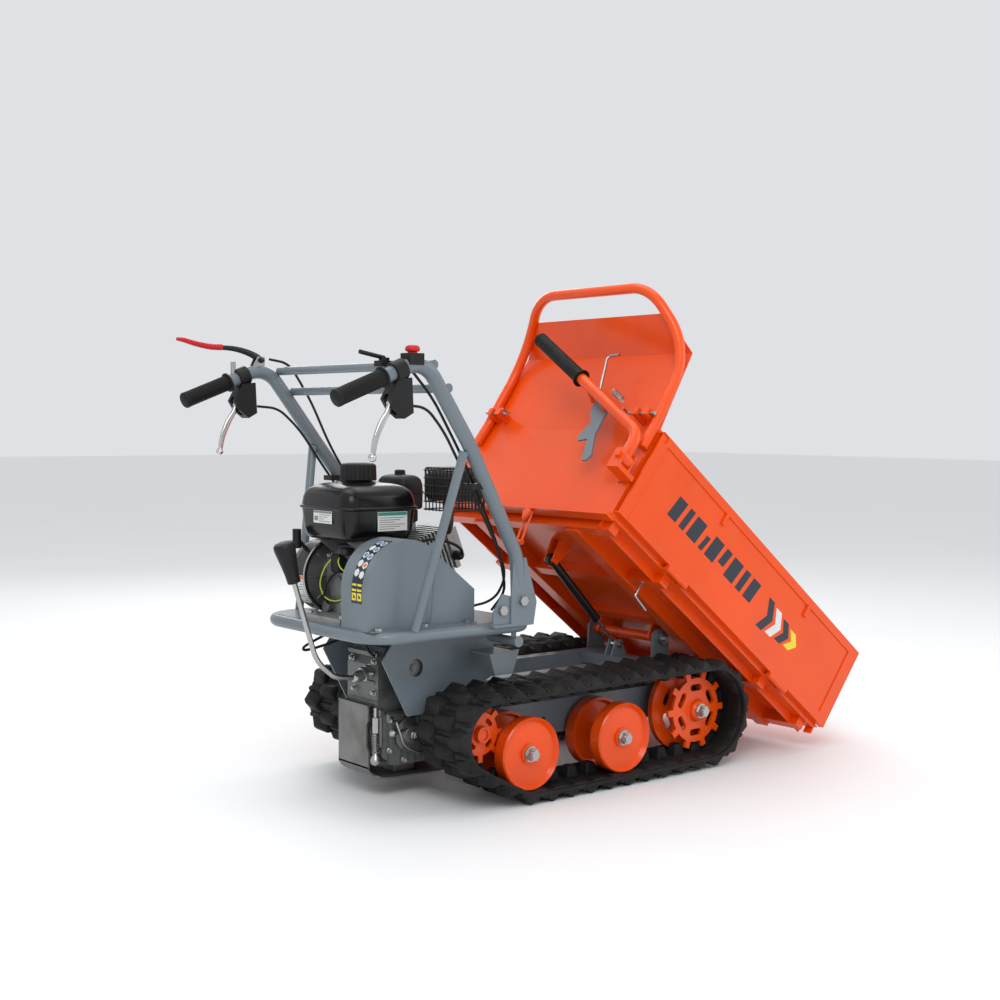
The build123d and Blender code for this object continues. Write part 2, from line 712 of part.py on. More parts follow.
def make_muffler_guard():
    """Wire cage round the muffler."""
    x0, x1, y0, y1, z0, z1 = muffler_box
    gap = 8.0
    x0, x1, y0, y1, z0, z1 = x0 - gap, x1 + gap, y0 - gap, y1 + gap, z0 - 2, z1 + gap
    wires = []
    for i in range(5):
        z = z0 + (z1 - z0) * i / 4
        wires.append(box(x0, x1, y0, y0 + 3, z - 1.5, z + 1.5))
        wires.append(box(x1 - 3, x1, y0, y1, z - 1.5, z + 1.5))
        wires.append(box(x0, x0 + 3, y0, y1, z - 1.5, z + 1.5))
    for i in range(9):
        x = x0 + 1.5 + (x1 - x0 - 3) * i / 8
        wires.append(box(x - 1.5, x + 1.5, y0, y0 + 3, z0 - 1.5, z1 + 1.5))
        wires.append(box(x - 1.5, x + 1.5, y0, y1, z1 - 1.5, z1 + 1.5))
    stays = [box(x0, x1, y1 - 3, y1, z1 - 1.5, z1 + 1.5), box(x0 + 40, x0 + 48, y1 - gap - 1, y1, z1 - gap - 1, z1 + 1.5)]
    return joined(wires, stays)


recoil_mid = (-478.0, 496.0)
recoil_r = 86.0


def make_recoil():
    """Fan shroud and recoil starter on the engine's left."""
    x, z = recoil_mid
    shroud = disc(x, z, recoil_r, 84, 132)
    dome = turned(x, z, [(0.01, 132), (recoil_r, 132), (80, 156), (40, 166), (0.01, 166)])
    hollow = disc(x, z, 80, 80, 126)
    return joined(shroud, dome) - hollow


def make_recoil_handle():
    """Pull handle of the recoil starter."""
    reach = recoil_r + 0.5
    lean = math.sqrt(0.5)
    x, z = recoil_mid[0] - 86, recoil_mid[1] + 86
    bar = rod((x, 118, z - 22), (x, 118, z + 22), 20)
    stem = rod((x, 118, z), (recoil_mid[0] - lean * reach, 118, recoil_mid[1] + lean * reach), 10)
    return joined(bar, stem)


def make_belt_cover():
    """Folded belt cover with a domed top, a sloping front and a bolted foot flange."""
    x0, x1 = cover_rear, cover_front
    dome_x, dome_r = -478.0, 107.0
    base = deck_top
    spring = cover_top - dome_r
    tangent = math.radians(52)
    end = (dome_x + dome_r * math.sin(tangent), spring + dome_r * math.cos(tangent))
    edges = [
        Line((x0, base), (x0, spring)),
        ThreePointArc((x0, spring), (dome_x - dome_r * math.sin(math.radians(38)),
                                     spring + dome_r * math.cos(math.radians(38))), end),
        Line(end, (x1, 478)),
        Line((x1, 478), (x1, base)),
        Line((x1, base), (x0, base)),
    ]
    plane = Plane(origin=(0, cover_y, 0), x_dir=(1, 0, 0), z_dir=(0, -1, 0))
    face = plane * make_face(edges)
    skin = 2.0
    solid = extrude(face, amount=-cover_depth)
    inner = extrude(plane * offset(make_face(edges), amount=-skin), amount=-(cover_depth + 5))
    inner = Pos(0, skin, 0) * inner
    floor = box(x0 + skin, x1 - skin, cover_y + skin, cover_y + cover_depth + 10, base - 5, base + skin)
    shell = solid - inner - floor
    flange = box(x0 + 4, x1 - 4, cover_y - 16, cover_y, base, base + skin)
    return joined(shell, flange)


pulley_y = -104.0           # middle plane of the belt drive
pulley_width = 16.0


def pulley_profile(bore, rim):
    """Section of a grooved pulley."""
    half = pulley_width / 2
    return [(bore, pulley_y - half), (rim, pulley_y - half), (rim, pulley_y - half + 2.5), (rim - 8, pulley_y),
            (rim, pulley_y + half - 2.5), (rim, pulley_y + half), (bore, pulley_y + half)]


def make_engine_pulley():
    """Crankshaft and its grooved drive pulley."""
    shaft = disc(crank_x, crank_z, 10 - running, pulley_y - 14, 118)
    wheel = turned(crank_x, crank_z, pulley_profile(9.9, 38.0))
    return joined(shaft, wheel)


def make_gearbox_pulley():
    """Gearbox input pulley."""
    wheel = turned(input_x, input_z, pulley_profile(8.0, 60.0))
    shaft = disc(input_x, input_z, 8.0, pulley_y - 11, -gearbox_half + 6)
    return joined(wheel, shaft)


def make_drive_belt():
    """V belt from the engine pulley to the gearbox pulley."""
    a = Pos(crank_x, crank_z) * Circle(36)
    b = Pos(input_x, input_z) * Circle(58)
    outer = make_hull((a + b).edges())
    a_in = Pos(crank_x, crank_z) * Circle(32.6)
    b_in = Pos(input_x, input_z) * Circle(54.6)
    inner = make_hull((a_in + b_in).edges())
    plane = Plane(origin=(0, pulley_y - 1.2, 0), x_dir=(1, 0, 0), z_dir=(0, -1, 0))
    return extrude(plane * (outer - inner), amount=-2.4)


def make_gearbox():
    """Cast gearbox with its output tubes, top tower and selector boss."""
    lower = side_plate([(-455, 95), (-420, 72), (-300, 72), (-255, 120), (-262, 190), (-455, 192)], -70, 70)
    tower = side_plate([(-462, 192), (-335, 192), (-335, 340), (-440, 340), (-462, 300)], -62, 62)
    ribs = [box(-440 + 36 * i, -434 + 36 * i, -gearbox_half + 6, gearbox_half - 6, 78, 188) for i in range(5)]
    tubes = disc(sprocket_x, sprocket_z, 27, -172, 172)
    boss = rod((-470, -30, 285), (-520, -30, 268), 22)
    boss_end = rod((-500, -30, 275), (-440, -30, 295), 26)
    input_boss = disc(input_x, input_z, 24, -gearbox_half, -50)
    bolts = [disc(x, z, 6, -76, 76) for x, z in ((-440, 110), (-400, 84), (-330, 84), (-275, 130), (-440, 178))]
    case = joined(lower, tower, ribs, tubes, boss_end, input_boss, bolts)
    case = case - disc(sprocket_x, sprocket_z, drive_shaft_d / 2 + running, -180, 180)
    socket = Pos(*shift_base) * Sphere(11.3)
    return case - disc(input_x, input_z, 8.0 + running, -120, -gearbox_half + 30) - socket


def make_gearbox_guard():
    """Bare steel guard behind and under the gearbox."""
    back = box(-480, -476, -72, 72, 66, 213)
    floor = side_plate([(-480, 66), (-440, 42), (-270, 42), (-270, 46), (-438, 46), (-478, 70)], -72, 72)
    cheeks = both(side_plate([(-480, 66), (-440, 42), (-420, 42), (-450, 110), (-462, 213), (-480, 213)], 72, 75))
    hanger = box(-476, -462, -30, 30, 200, 230)
    props = box(-400, -340, -40, 40, 46, 72)
    return joined(back, floor, cheeks, hanger, props)


shift_base = (-500.0, -30.0, 275.0)


def make_shift_rod():
    """Bright bent rod of the gear lever with its ball joint."""
    ball = Pos(*shift_base) * Sphere(11)
    points = [shift_base, (-556, -30, 282), (-604, -30, 322), (-664, -30, 512)]
    return joined(ball, bent_tube(points, [50.0, 90.0], 12.0))


def make_shift_knob():
    """Tapered black knob on the gear lever."""
    low, high = Vector(-660, -30, 499.3), Vector(-688, -30, 588)
    length = (high - low).length
    knob = Plane(origin=low, z_dir=high - low) * Pos(0, 0, length / 2) * Cone(15, 24, length)
    return knob - make_shift_rod()


# ---------------------------------------------------------------- bed
def rear_outline_half(w):
    """Half width of the rear panel at a height."""
    low = bed_side_height
    if w <= low:
        return bed_half_width - 14
    if w <= rear_panel_kink_w:
        share = (w - low) / (rear_panel_kink_w - low)
        return bed_half_width - 14 + (guard_kink_half - bed_half_width + 14) * share
    share = (w - rear_panel_kink_w) / (guard_top_w - rear_panel_kink_w)
    return guard_kink_half + (guard_top_half - guard_kink_half) * share


def rear_sheet(points_u, heights):
    """Folded rear panel: one sheet whose width follows the guard tube."""
    halves = [rear_outline_half(w) for w in heights]
    strips = []
    for i in range(len(heights) - 1):
        a = Vector(points_u[i], 0, heights[i])
        c = Vector(points_u[i + 1], 0, heights[i + 1])
        length = (c - a).length
        plane = Plane(origin=a, x_dir=(0, 1, 0), z_dir=Vector(0, 1, 0).cross(c - a))
        face = Polyline((-halves[i], 0), (halves[i], 0), (halves[i + 1], length), (-halves[i + 1], length), close=True)
        strips.append(extrude(plane * make_face(face), amount=sheet / 2, both=True))
    return strips


def make_tray():
    """Bed floor with its rear panel and corner posts."""
    half = bed_half_width - 14
    floor = box(0, bed_length - 16, -half, half, -sheet, 0)
    back = rear_sheet([0, 0, rear_panel_kink_u, rear_panel_top_u], [0, bed_side_height, rear_panel_kink_w,
                                                                 rear_panel_top_w])
    posts = []
    for side in (-1, 1):
        near, far = sorted((side * (half - 30), side * half))
        posts.append(box(-2, 22, near, far, 0, bed_side_height + 6))
    lip = box(-16, 12, -half, half, -12, -sheet)
    edges = both(box(10, bed_length - 24, -half, -half + 3, -sheet, 14))
    return bed(joined(floor, back, posts, lip, edges))


def make_bed_frame():
    """Channels and cross members under the floor, side hinge rails and the pivot tube with its lugs."""
    low = -sheet - floor_channel_drop
    pieces = []
    for b in (-176, 176):
        pieces.append(box(30, bed_length - 40, b - 20, b + 20, low, -sheet))
    for u in (36, 250, 700, bed_length - 60):
        pieces.append(box(u - 14, u + 14, -bed_half_width + 24, bed_half_width - 24, low + 6, -sheet))
    inner = bed_half_width - 14
    for side in (-1, 1):
        near, far = sorted((side * (inner - 36), side * (inner + 2)))
        pieces.append(box(12, bed_length - 24, near, far, -sheet - 5, -sheet))
        pieces.append(box(12, bed_length - 24, side * (inner - 36) - 2, side * (inner - 36) + 2, -sheet - 26, -sheet))
    for side in (-1, 1):
        near, far = sorted((side * 92, side * 98))
        lug = [(pivot_u - 30, -sheet), (pivot_u + 30, -sheet), (pivot_u + 15, -pivot_drop - 13),
               (pivot_u - 15, -pivot_drop - 13)]
        pieces.append(side_plate(lug, near, far))
        pieces.append(box(pivot_u - 30, pivot_u + 30, *sorted((side * 92, side * 160)), -sheet - 5, -sheet))
    pieces.append(box(pivot_u - 60, pivot_u - 31, -160, 160, low + 14, -sheet))
    tube = rod((pivot_u, -pivot_tube_half, -pivot_drop), (pivot_u, pivot_tube_half, -pivot_drop), pivot_tube_d)
    frame = joined(pieces, tube)
    bore = rod((pivot_u, -200, -pivot_drop), (pivot_u, 200, -pivot_drop), pivot_pin_d + 2 * running)
    return bed(frame - bore) - strut_path()


def strut_path():
    """Room that the strut keeps free under the bed."""
    x, z = strut_high
    dx, dz = strut_low[0] - x, strut_low[1] - z
    return rod((x - 0.1 * dx, strut_y, z - 0.1 * dz), (x + 0.8 * dx, strut_y, z + 0.8 * dz), 44)


def make_strut_bracket():
    """Ears on the bed that hold the strut's upper pin."""
    x, z = strut_high
    local = bed_plane.to_local_coords(Vector(x, 0, z))
    u, w = local.X, local.Z
    ears = []
    for b in (strut_y - 17, strut_y + 12):
        ears.append(side_plate([(u - 22, -sheet), (u + 22, -sheet), (u + 9, w - 9), (u - 9, w - 9)], b, b + 5))
    pin = rod((u, strut_y - 20, w), (u, strut_y + 20, w), 8)
    return bed(joined(ears, pin))


def make_bed_guard():
    """Bent guard tube over the rear panel."""
    half = bed_half_width - 22
    points = [
        (-14, -half, bed_side_height - 60), (-14, -half, bed_side_height),
        (rear_panel_kink_u - 14, -guard_kink_half, rear_panel_kink_w),
        (guard_top_u, -guard_top_half, guard_top_w), (guard_top_u, guard_top_half, guard_top_w),
        (rear_panel_kink_u - 14, guard_kink_half, rear_panel_kink_w), (-14, half, bed_side_height),
        (-14, half, bed_side_height - 60),
    ]
    tube = bent_tube(points, [60, 190, 110, 110, 190, 60], guard_d)
    return bed(tube) - make_tray()


def make_side_panel(side):
    """Folding side panel with its top channel, ribs and hinge knuckles."""
    out = bed_half_width
    thick = 14.0
    u0, u1 = 2.0, bed_length - 4
    skin = box(u0, u1, out - sheet, out, panel_gap + 6, bed_side_height)
    top = box(u0, u1, out - thick, out + 3, bed_side_height - 3, bed_side_height)
    drop = box(u0 + 20, u1 - 6, out, out + 3, bed_side_height - 22, bed_side_height - 3)
    foot = box(u0, u1, out - thick + 1, out, panel_gap + 6, panel_gap + 9)
    front = box(u1 - 40, u1, out, out + 3, panel_gap + 6, bed_side_height)
    rear = box(u0, u0 + 30, out, out + 3, panel_gap + 6, bed_side_height - 22)
    ribs = [box(u - 5, u + 5, out - 1, out + 6, bed_side_height - 52, bed_side_height - 20) for u in (300, 700)]
    rail = box(u0 + 30, u1 - 40, out, out + 4, panel_gap + 6, 30)
    knuckles = []
    for u in (230, 700):
        knuckle = rod((u, out + 2, -1), (u + 40, out + 2, -1), 16)
        knuckles.append(joined(knuckle, box(u, u + 40, out, out + 4, -1, 20)))
    bore = rod((0, out + 2, -1), (bed_length, out + 2, -1), hinge_pin_d + 2 * running)
    panel = joined(skin, top, drop, foot, front, rear, ribs, rail, knuckles) - bore
    return bed(panel if side > 0 else mirrored(panel))


def make_panel_hinges():
    """Hinge pins and fixed knuckles of the side panels, and the front panel's top pins."""
    out = bed_half_width
    pieces = []
    for u in (230, 700):
        pin = rod((u - 22, out + 2, -1), (u + 62, out + 2, -1), hinge_pin_d)
        ends = [rod((u - 20.5, out + 2, -1), (u - 0.5, out + 2, -1), 16),
                rod((u + 40.5, out + 2, -1), (u + 60.5, out + 2, -1), 16)]
        ties = [box(u - 20.5, u - 0.5, out - 13, out + 2, -7, -2), box(u + 40.5, u + 60.5, out - 13, out + 2, -7, -2)]
        pieces.append(joined(pin, ends, ties))
    return bed(group(*[both(piece) for piece in pieces]))


front_half = bed_half_width - 22
front_pin_w = bed_side_height - 8


def make_front_panel():
    """Front gate, hung from its top corners."""
    half = front_half
    u = bed_length - 10
    skin = box(u, u + sheet, -half, half, 2, bed_side_height - 8)
    top = box(u - 6, u + 10, -half, half, bed_side_height - 10, bed_side_height - 6)
    ribs = [box(u + sheet, u + 12, b - 12, b + 12, 10, bed_side_height - 20) for b in (-170, 0, 170)]
    foot = box(u + sheet, u + 12, -half, half, 6, 10)
    stub = [rod((u + 2, side * (half - 20), front_pin_w), (u + 2, side * (half + 5.5), front_pin_w), 12)
            for side in (-1, 1)]
    return bed(joined(skin, top, ribs, foot, stub))


def make_front_hooks():
    """Corner brackets of the bed that carry the front gate's pins."""
    half = bed_half_width - 14
    u = bed_length - 8
    w = front_pin_w
    post = box(u - 14, u - 8.5, half - 24, half - 3, -sheet, w - 24)
    foot = box(u - 14, u - 8.5, half - 24, half, -sheet - 20, 0)
    ear = box(u - 14, u + 12, front_half + 1, front_half + 5, w - 40, w + 12)
    bore = rod((u, front_half, w), (u, front_half + 10, w), 12 + 2 * running)
    return bed(group(*both(joined(post, foot, ear) - bore)))


def make_latch(side):
    """Spring bolt with a long handle at a rear top corner, drawn back from the side panel."""
    b = bed_half_width - 40
    w = bed_side_height + 26
    u = -36.0
    bolt = rod((u, b - 72, w), (u, b + 22, w), 9)
    bar = rod((u, b - 68, w), (u - 22, b - 68, w - 3), 7)
    piece = joined(bolt, bar)
    return bed(piece if side > 0 else mirrored(piece))


def make_latch_guides():
    """Bored guide blocks of the two rear latches."""
    w = bed_side_height + 26
    blocks = []
    for b in (bed_half_width - 84, bed_half_width - 48):
        block = box(-46, -1.25, b, b + 14, w - 10, w + 10)
        blocks.append(block)
    block = joined(blocks[0]) - rod((-36, 100, w), (-36, 400, w), 9 + 2 * running)
    block2 = joined(blocks[1]) - rod((-36, 100, w), (-36, 400, w), 9 + 2 * running)
    return bed(group(*both(block), *both(block2))) - make_bed_guard() - make_tray()


handle_u = -46.0
handle_pivot_b = -316.0
handle_pivot_w = 122.0
handle_pin_d = 10.0
handle_bend = (-46.0, -314.0, 200.0)
handle_end = (-150.0, 100.0, 416.0)


def make_dump_handle():
    """Bent dump handle with its pivot eye, reset rod and hook plate stays."""
    eye = rod((handle_u - 14, handle_pivot_b, handle_pivot_w), (handle_u + 14, handle_pivot_b, handle_pivot_w), 34)
    tube = bent_tube([(handle_u, handle_pivot_b, handle_pivot_w + 6), handle_bend, handle_end], [52.0], 28)
    bore = rod((handle_u - 30, handle_pivot_b, handle_pivot_w), (handle_u + 30, handle_pivot_b, handle_pivot_w),
               handle_pin_d + 2 * running)
    stay = rod((-84, -160, 276), (-50, -158, 262), 10)
    stay_two = rod((-96, -100, 308), (-50, -100, 290), 10)
    reset = bent_tube([(-84, -150, 288), (-72, -82, 420), (-72, -122, 424)], [9.0], 6)
    return bed(joined(eye, tube, stay, stay_two, reset) - bore)


def make_dump_grip():
    """Long ribbed grip on the dump handle."""
    a, b = Vector(*handle_bend), Vector(*handle_end)
    along = (b - a).normalized()
    start = a + along * ((b - a).length * 0.56)
    sleeve = rod(start, (b + along * 6), 38)
    bore = rod((start - along * 5), b, 28)
    return bed(sleeve - bore)


def make_hook():
    """Notched hook plate hung from the dump handle."""
    outline = [(-96, 318), (-118, 322), (-170, 262), (-176, 190), (-205, 128), (-196, 112), (-182, 112),
               (-158, 176), (-128, 170), (-120, 184), (-136, 226), (-110, 262), (-104, 300)]
    plane = Plane(origin=(-52, 0, 0), x_dir=(0, 1, 0), z_dir=(1, 0, 0))
    return bed(extrude(plane * make_face(Polyline(*outline, close=True)), amount=5))


def make_handle_bracket():
    """Clevis at the rear corner with the dump handle's pivot bolt."""
    b, w, u = handle_pivot_b, handle_pivot_w, handle_u
    back = box(-1.25 - 5, -1.25, b - 4, b + 34, w - 34, w + 40)
    plates = [box(u - 19, u - 14.6, b - 17, b + 22, w - 22, w + 22),
              box(u + 14.6, u + 19, b - 17, b + 22, w - 22, w + 22)]
    bridge = box(u - 19, -6, b - 17, b + 22, w - 34, w - 22)
    bolt = rod((u - 24, b, w), (u + 20, b, w), handle_pin_d)
    head = rod((u - 28, b, w), (u - 18, b, w), 18)
    return bed(joined(back, plates, bridge, bolt, head))


def make_catches():
    """Diamond tabs, receiver rods and locking screws under the bed's rear edge."""
    pieces = []
    for b in (-45, 70):
        tab = [(b - 14, -20), (b, -2.5), (b + 14, -20), (b, -44)]
        plane = Plane(origin=(-16, 0, 0), x_dir=(0, 1, 0), z_dir=(1, 0, 0))
        pieces.append(extrude(plane * make_face(Polyline(*tab, close=True)), amount=8))
    rods = [rod((-4, b, -12), (14, b, -96), 7) for b in (-52, -34)]
    pieces += rods
    pieces.append(rod((14, -56, -92), (14, -30, -92), 12))
    return bed(group(*pieces))


def make_lock_screws():
    """Bent locking screws that hold the floor's members, under the right side."""
    screws = []
    for u in (250,):
        screws.append(bent_tube([(u, -240, -24), (u, -240, -66), (u + 34, -262, -84)], [9.0], 7))
    return bed(group(*screws)) - make_bed_frame()


# ---------------------------------------------------------------- gas strut
def strut_point(share):
    """Point between the strut's lower and upper pins."""
    x = strut_low[0] + (strut_high[0] - strut_low[0]) * share
    z = strut_low[1] + (strut_high[1] - strut_low[1]) * share
    return (x, strut_y, z)


def make_strut_rod():
    """Strut rod with its lower eye."""
    eye = disc(*strut_low, 11, strut_y - 6, strut_y + 6) - disc(*strut_low, 4 + running, strut_y - 9, strut_y + 9)
    return joined(eye, rod(strut_point(0.03), strut_point(0.5), 9) - disc(*strut_low, 8, strut_y - 9, strut_y + 9))


def make_strut_cylinder():
    """Strut cylinder, hollow for the rod, with a slack upper eye."""
    tube = rod(strut_point(0.3), strut_point(0.955), 22)
    bore = rod(strut_point(0.2), strut_point(0.6), 9 + 2 * running)
    eye = disc(*strut_high, 17, strut_y - 6, strut_y + 6)
    hole = disc(*strut_high, 10.5, strut_y - 15, strut_y + 15)
    return joined(tube, eye) - bore - hole


# ---------------------------------------------------------------- fasteners
def make_bolts():
    """Bolts of the chassis: bed pivot bolt, strut pin, deck bolts and bracket bolts."""
    side = beam_outer + pivot_plate
    pivot = joined(disc(pivot_x, pivot_z, pivot_pin_d / 2, -side - 22, side + 12),
                   hexagon(pivot_x, pivot_z, 26, -side - 14, -side), hexagon(pivot_x, pivot_z, 26, side, side + 12))
    pin = joined(disc(*strut_low, 4.0, strut_y - 22, strut_y + 18), hexagon(*strut_low, 14, strut_y - 20, strut_y - 14),
                 hexagon(*strut_low, 14, strut_y + 14, strut_y + 20))
    x, y, z = bar_foot
    face = -y - bar_d / 2 - 4
    foot = both(group(hexagon(x - 4, z + 22, 20, face - 9, face), hexagon(x - 60, z + 4, 20, face - 5, face + 4)))
    cover = []
    for bx in (cover_rear + 24, -440, cover_front - 24):
        cover.append(Pos(bx, cover_y - 8, deck_top + 2) * extrude(RegularPolygon(7, 6, major_radius=False), 6))
    for bx, by in ((-555, -60), (-555, 70), (-335, -60), (-335, 70)):
        cover.append(Pos(bx, by, deck_top + 12) * extrude(RegularPolygon(8, 6, major_radius=False), 7))
    return group(pivot, pin, foot, cover)


# ---------------------------------------------------------------- write the nodes
# pieces that are cut where they stand on, clamp round or pass through their neighbours
seated_on = {
    "handlebars": ["engine_deck"],
    "handlebar_brackets": ["engine_deck", "handlebars"],
    "grips": ["handlebars"],
    "lever_perches": ["handlebars"],
    "switch_housing": ["lever_perches"],
    "drive_lever_mount": ["lever_perches"],
    "bed_brackets": ["bed_tray", "bed_frame", "bed_guard_tube"],
    "bed_hook": ["dump_handle"],
    "gearbox_guard": ["gearbox"],
    "muffler_guard": ["muffler"],
    "air_filter": ["engine_cylinder"],
}


def cut_to(piece, seat):
    """Cut a node to its neighbour and keep its solids apart."""
    solids = []
    for solid in piece.solids():
        left = solid - seat
        solids += left.solids() if hasattr(left, "solids") else [s for part in left for s in part.solids()]
    return Compound(children=[s for s in solids if s.volume > 20])


def build():
    """Every node by name."""
    nodes = {
        "chassis_frame": make_chassis(),
        "engine_deck": make_deck(),
        "track_frames": make_track_frames(),
        "wheel_axles": make_axles(),
        "gearbox": make_gearbox(),
        "gearbox_guard": make_gearbox_guard(),
        "handlebars": make_handlebars(),
        "handlebar_brackets": make_bar_brackets(),
        "grips": make_grips(),
        "lever_perches": make_perches(),
        "drive_lever": make_drive_lever(),
        "drive_lever_sleeve": make_drive_sleeve(),
        "drive_lever_mount": make_drive_mount(),
        "switch_housing": make_switch_housing(),
        "stop_button": make_stop_button(),
        "throttle_lever": make_throttle_lever(),
        "control_cables": make_cables(),
        "shift_rod": make_shift_rod(),
        "shift_knob": make_shift_knob(),
        "belt_cover": make_belt_cover(),
        "engine_pulley": make_engine_pulley(),
        "gearbox_pulley": make_gearbox_pulley(),
        "drive_belt": make_drive_belt(),
        "engine_block": make_engine_block(),
        "engine_cylinder": make_cylinder(),
        "fuel_tank": make_tank(),
        "fuel_cap": make_fuel_cap(),
        "air_filter": make_air_filter(),
        "muffler": make_muffler(),
        "muffler_guard": make_muffler_guard(),
        "recoil_starter": make_recoil(),
        "recoil_handle": make_recoil_handle(),
        "frame_bolts": make_bolts(),
        "bed_tray": joined(make_tray(), make_front_hooks()),
        "bed_frame": joined(make_bed_frame(), make_strut_bracket()),
        "bed_guard_tube": make_bed_guard(),
        "bed_brackets": group(make_panel_hinges(), make_latch_guides(), make_handle_bracket(), make_catches()),
        "front_panel": make_front_panel(),
        "dump_handle": make_dump_handle(),
        "dump_grip": make_dump_grip(),
        "bed_hook": make_hook(),
        "lock_screws": make_lock_screws(),
        "strut_rod": make_strut_rod(),
        "strut_cylinder": make_strut_cylinder(),
    }
    for side, word in ((-1, "right"), (1, "left")):
        nodes[f"track_{word}"] = make_track(side)
        nodes[f"sprocket_{word}"] = make_sprocket(side)
        nodes[f"idler_{word}"] = make_idler(side)
        nodes[f"rollers_rear_{word}"] = make_roller(roller_x[0], side)
        nodes[f"rollers_front_{word}"] = make_roller(roller_x[1], side)
        nodes[f"steer_lever_{word}"] = make_steer_lever(side)
        nodes[f"side_panel_{word}"] = make_side_panel(side)
        nodes[f"latch_{word}"] = make_latch(side)
    for name, seats in seated_on.items():
        for seat in seats:
            nodes[name] = cut_to(nodes[name], nodes[seat])
    return nodes


if __name__ == "__main__":
    os.makedirs("parts", exist_ok=True)
    for name, shape in build().items():
        export_step(Pos(-middle_x, 0, 0) * shape, f"parts/{name}.step")
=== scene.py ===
import json
import math

import bpy
from mathutils import Matrix, Vector


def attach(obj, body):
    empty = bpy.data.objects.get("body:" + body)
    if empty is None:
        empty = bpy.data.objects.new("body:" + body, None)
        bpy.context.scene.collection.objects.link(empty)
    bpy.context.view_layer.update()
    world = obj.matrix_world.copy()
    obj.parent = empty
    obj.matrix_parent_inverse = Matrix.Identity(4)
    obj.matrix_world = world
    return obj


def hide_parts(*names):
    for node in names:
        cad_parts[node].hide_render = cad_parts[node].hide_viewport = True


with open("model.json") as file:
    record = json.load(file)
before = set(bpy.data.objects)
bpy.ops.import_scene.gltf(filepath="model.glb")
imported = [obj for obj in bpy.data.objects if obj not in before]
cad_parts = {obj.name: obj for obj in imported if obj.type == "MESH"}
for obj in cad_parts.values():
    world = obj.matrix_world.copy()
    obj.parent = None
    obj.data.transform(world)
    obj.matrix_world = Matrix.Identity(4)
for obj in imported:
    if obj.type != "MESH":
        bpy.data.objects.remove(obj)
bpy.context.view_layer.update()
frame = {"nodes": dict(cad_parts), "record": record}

MIDDLE = 73.17                      # mm from the drawing's own X origin to the row frame
TILT = math.radians(38.4)
BED_REAR = (8.5, 642.3)
TRACK_Y = 233.6
SPROCKET = (-322.0, 163.0, 75.0)
REAR_ROLLER = (-204.0, 108.4, 83.0)
FRONT_ROLLER = (83.0, 108.4, 83.0)
IDLER = (362.0, 137.0, 107.0)
PITCH = 60.0
GRIP_START = (-624.0, 321.0, 941.0)
GRIP_END = (-736.0, 321.0, 897.0)
DECK_TOP = 403.5
COVER_Y = -200.0
LEVER_Y = 318.0
DRIVE_Y = 321.0
STARTER_X, STARTER_Z = -478, 496     # middle of the recoil starter
SHROUD_R = 86.1
CAP_X, CAP_Y = -455, 30
X, Y, Z = Vector((1, 0, 0)), Vector((0, 1, 0)), Vector((0, 0, 1))


def pt(x, y, z):
    """Point of the machine, from millimetres."""
    return Vector(((x - MIDDLE) / 1000, y / 1000, z / 1000))


def bed_pt(u, b, w):
    """Point of the tipped bed: u down the floor, b to the left, w up off the floor."""
    x = BED_REAR[0] + u * math.cos(TILT) + w * math.sin(TILT)
    z = BED_REAR[1] - u * math.sin(TILT) + w * math.cos(TILT)
    return pt(x, b, z)


# ---------------------------------------------------------------- finishes
class Sum:
    """A shader number that can be reckoned with like a plain one."""

    def __init__(self, finish, socket):
        self.finish = finish
        self.socket = socket

    def reckon(self, operation, *values):
        return self.finish.add("ShaderNodeMath", {"operation": operation}, dict(enumerate(values)))

    def __add__(self, other):
        return self.reckon("ADD", self, other)

    def __radd__(self, other):
        return self.reckon("ADD", other, self)

    def __sub__(self, other):
        return self.reckon("SUBTRACT", self, other)

    def __rsub__(self, other):
        return self.reckon("SUBTRACT", other, self)

    def __mul__(self, other):
        return self.reckon("MULTIPLY", self, other)

    def __rmul__(self, other):
        return self.reckon("MULTIPLY", other, self)


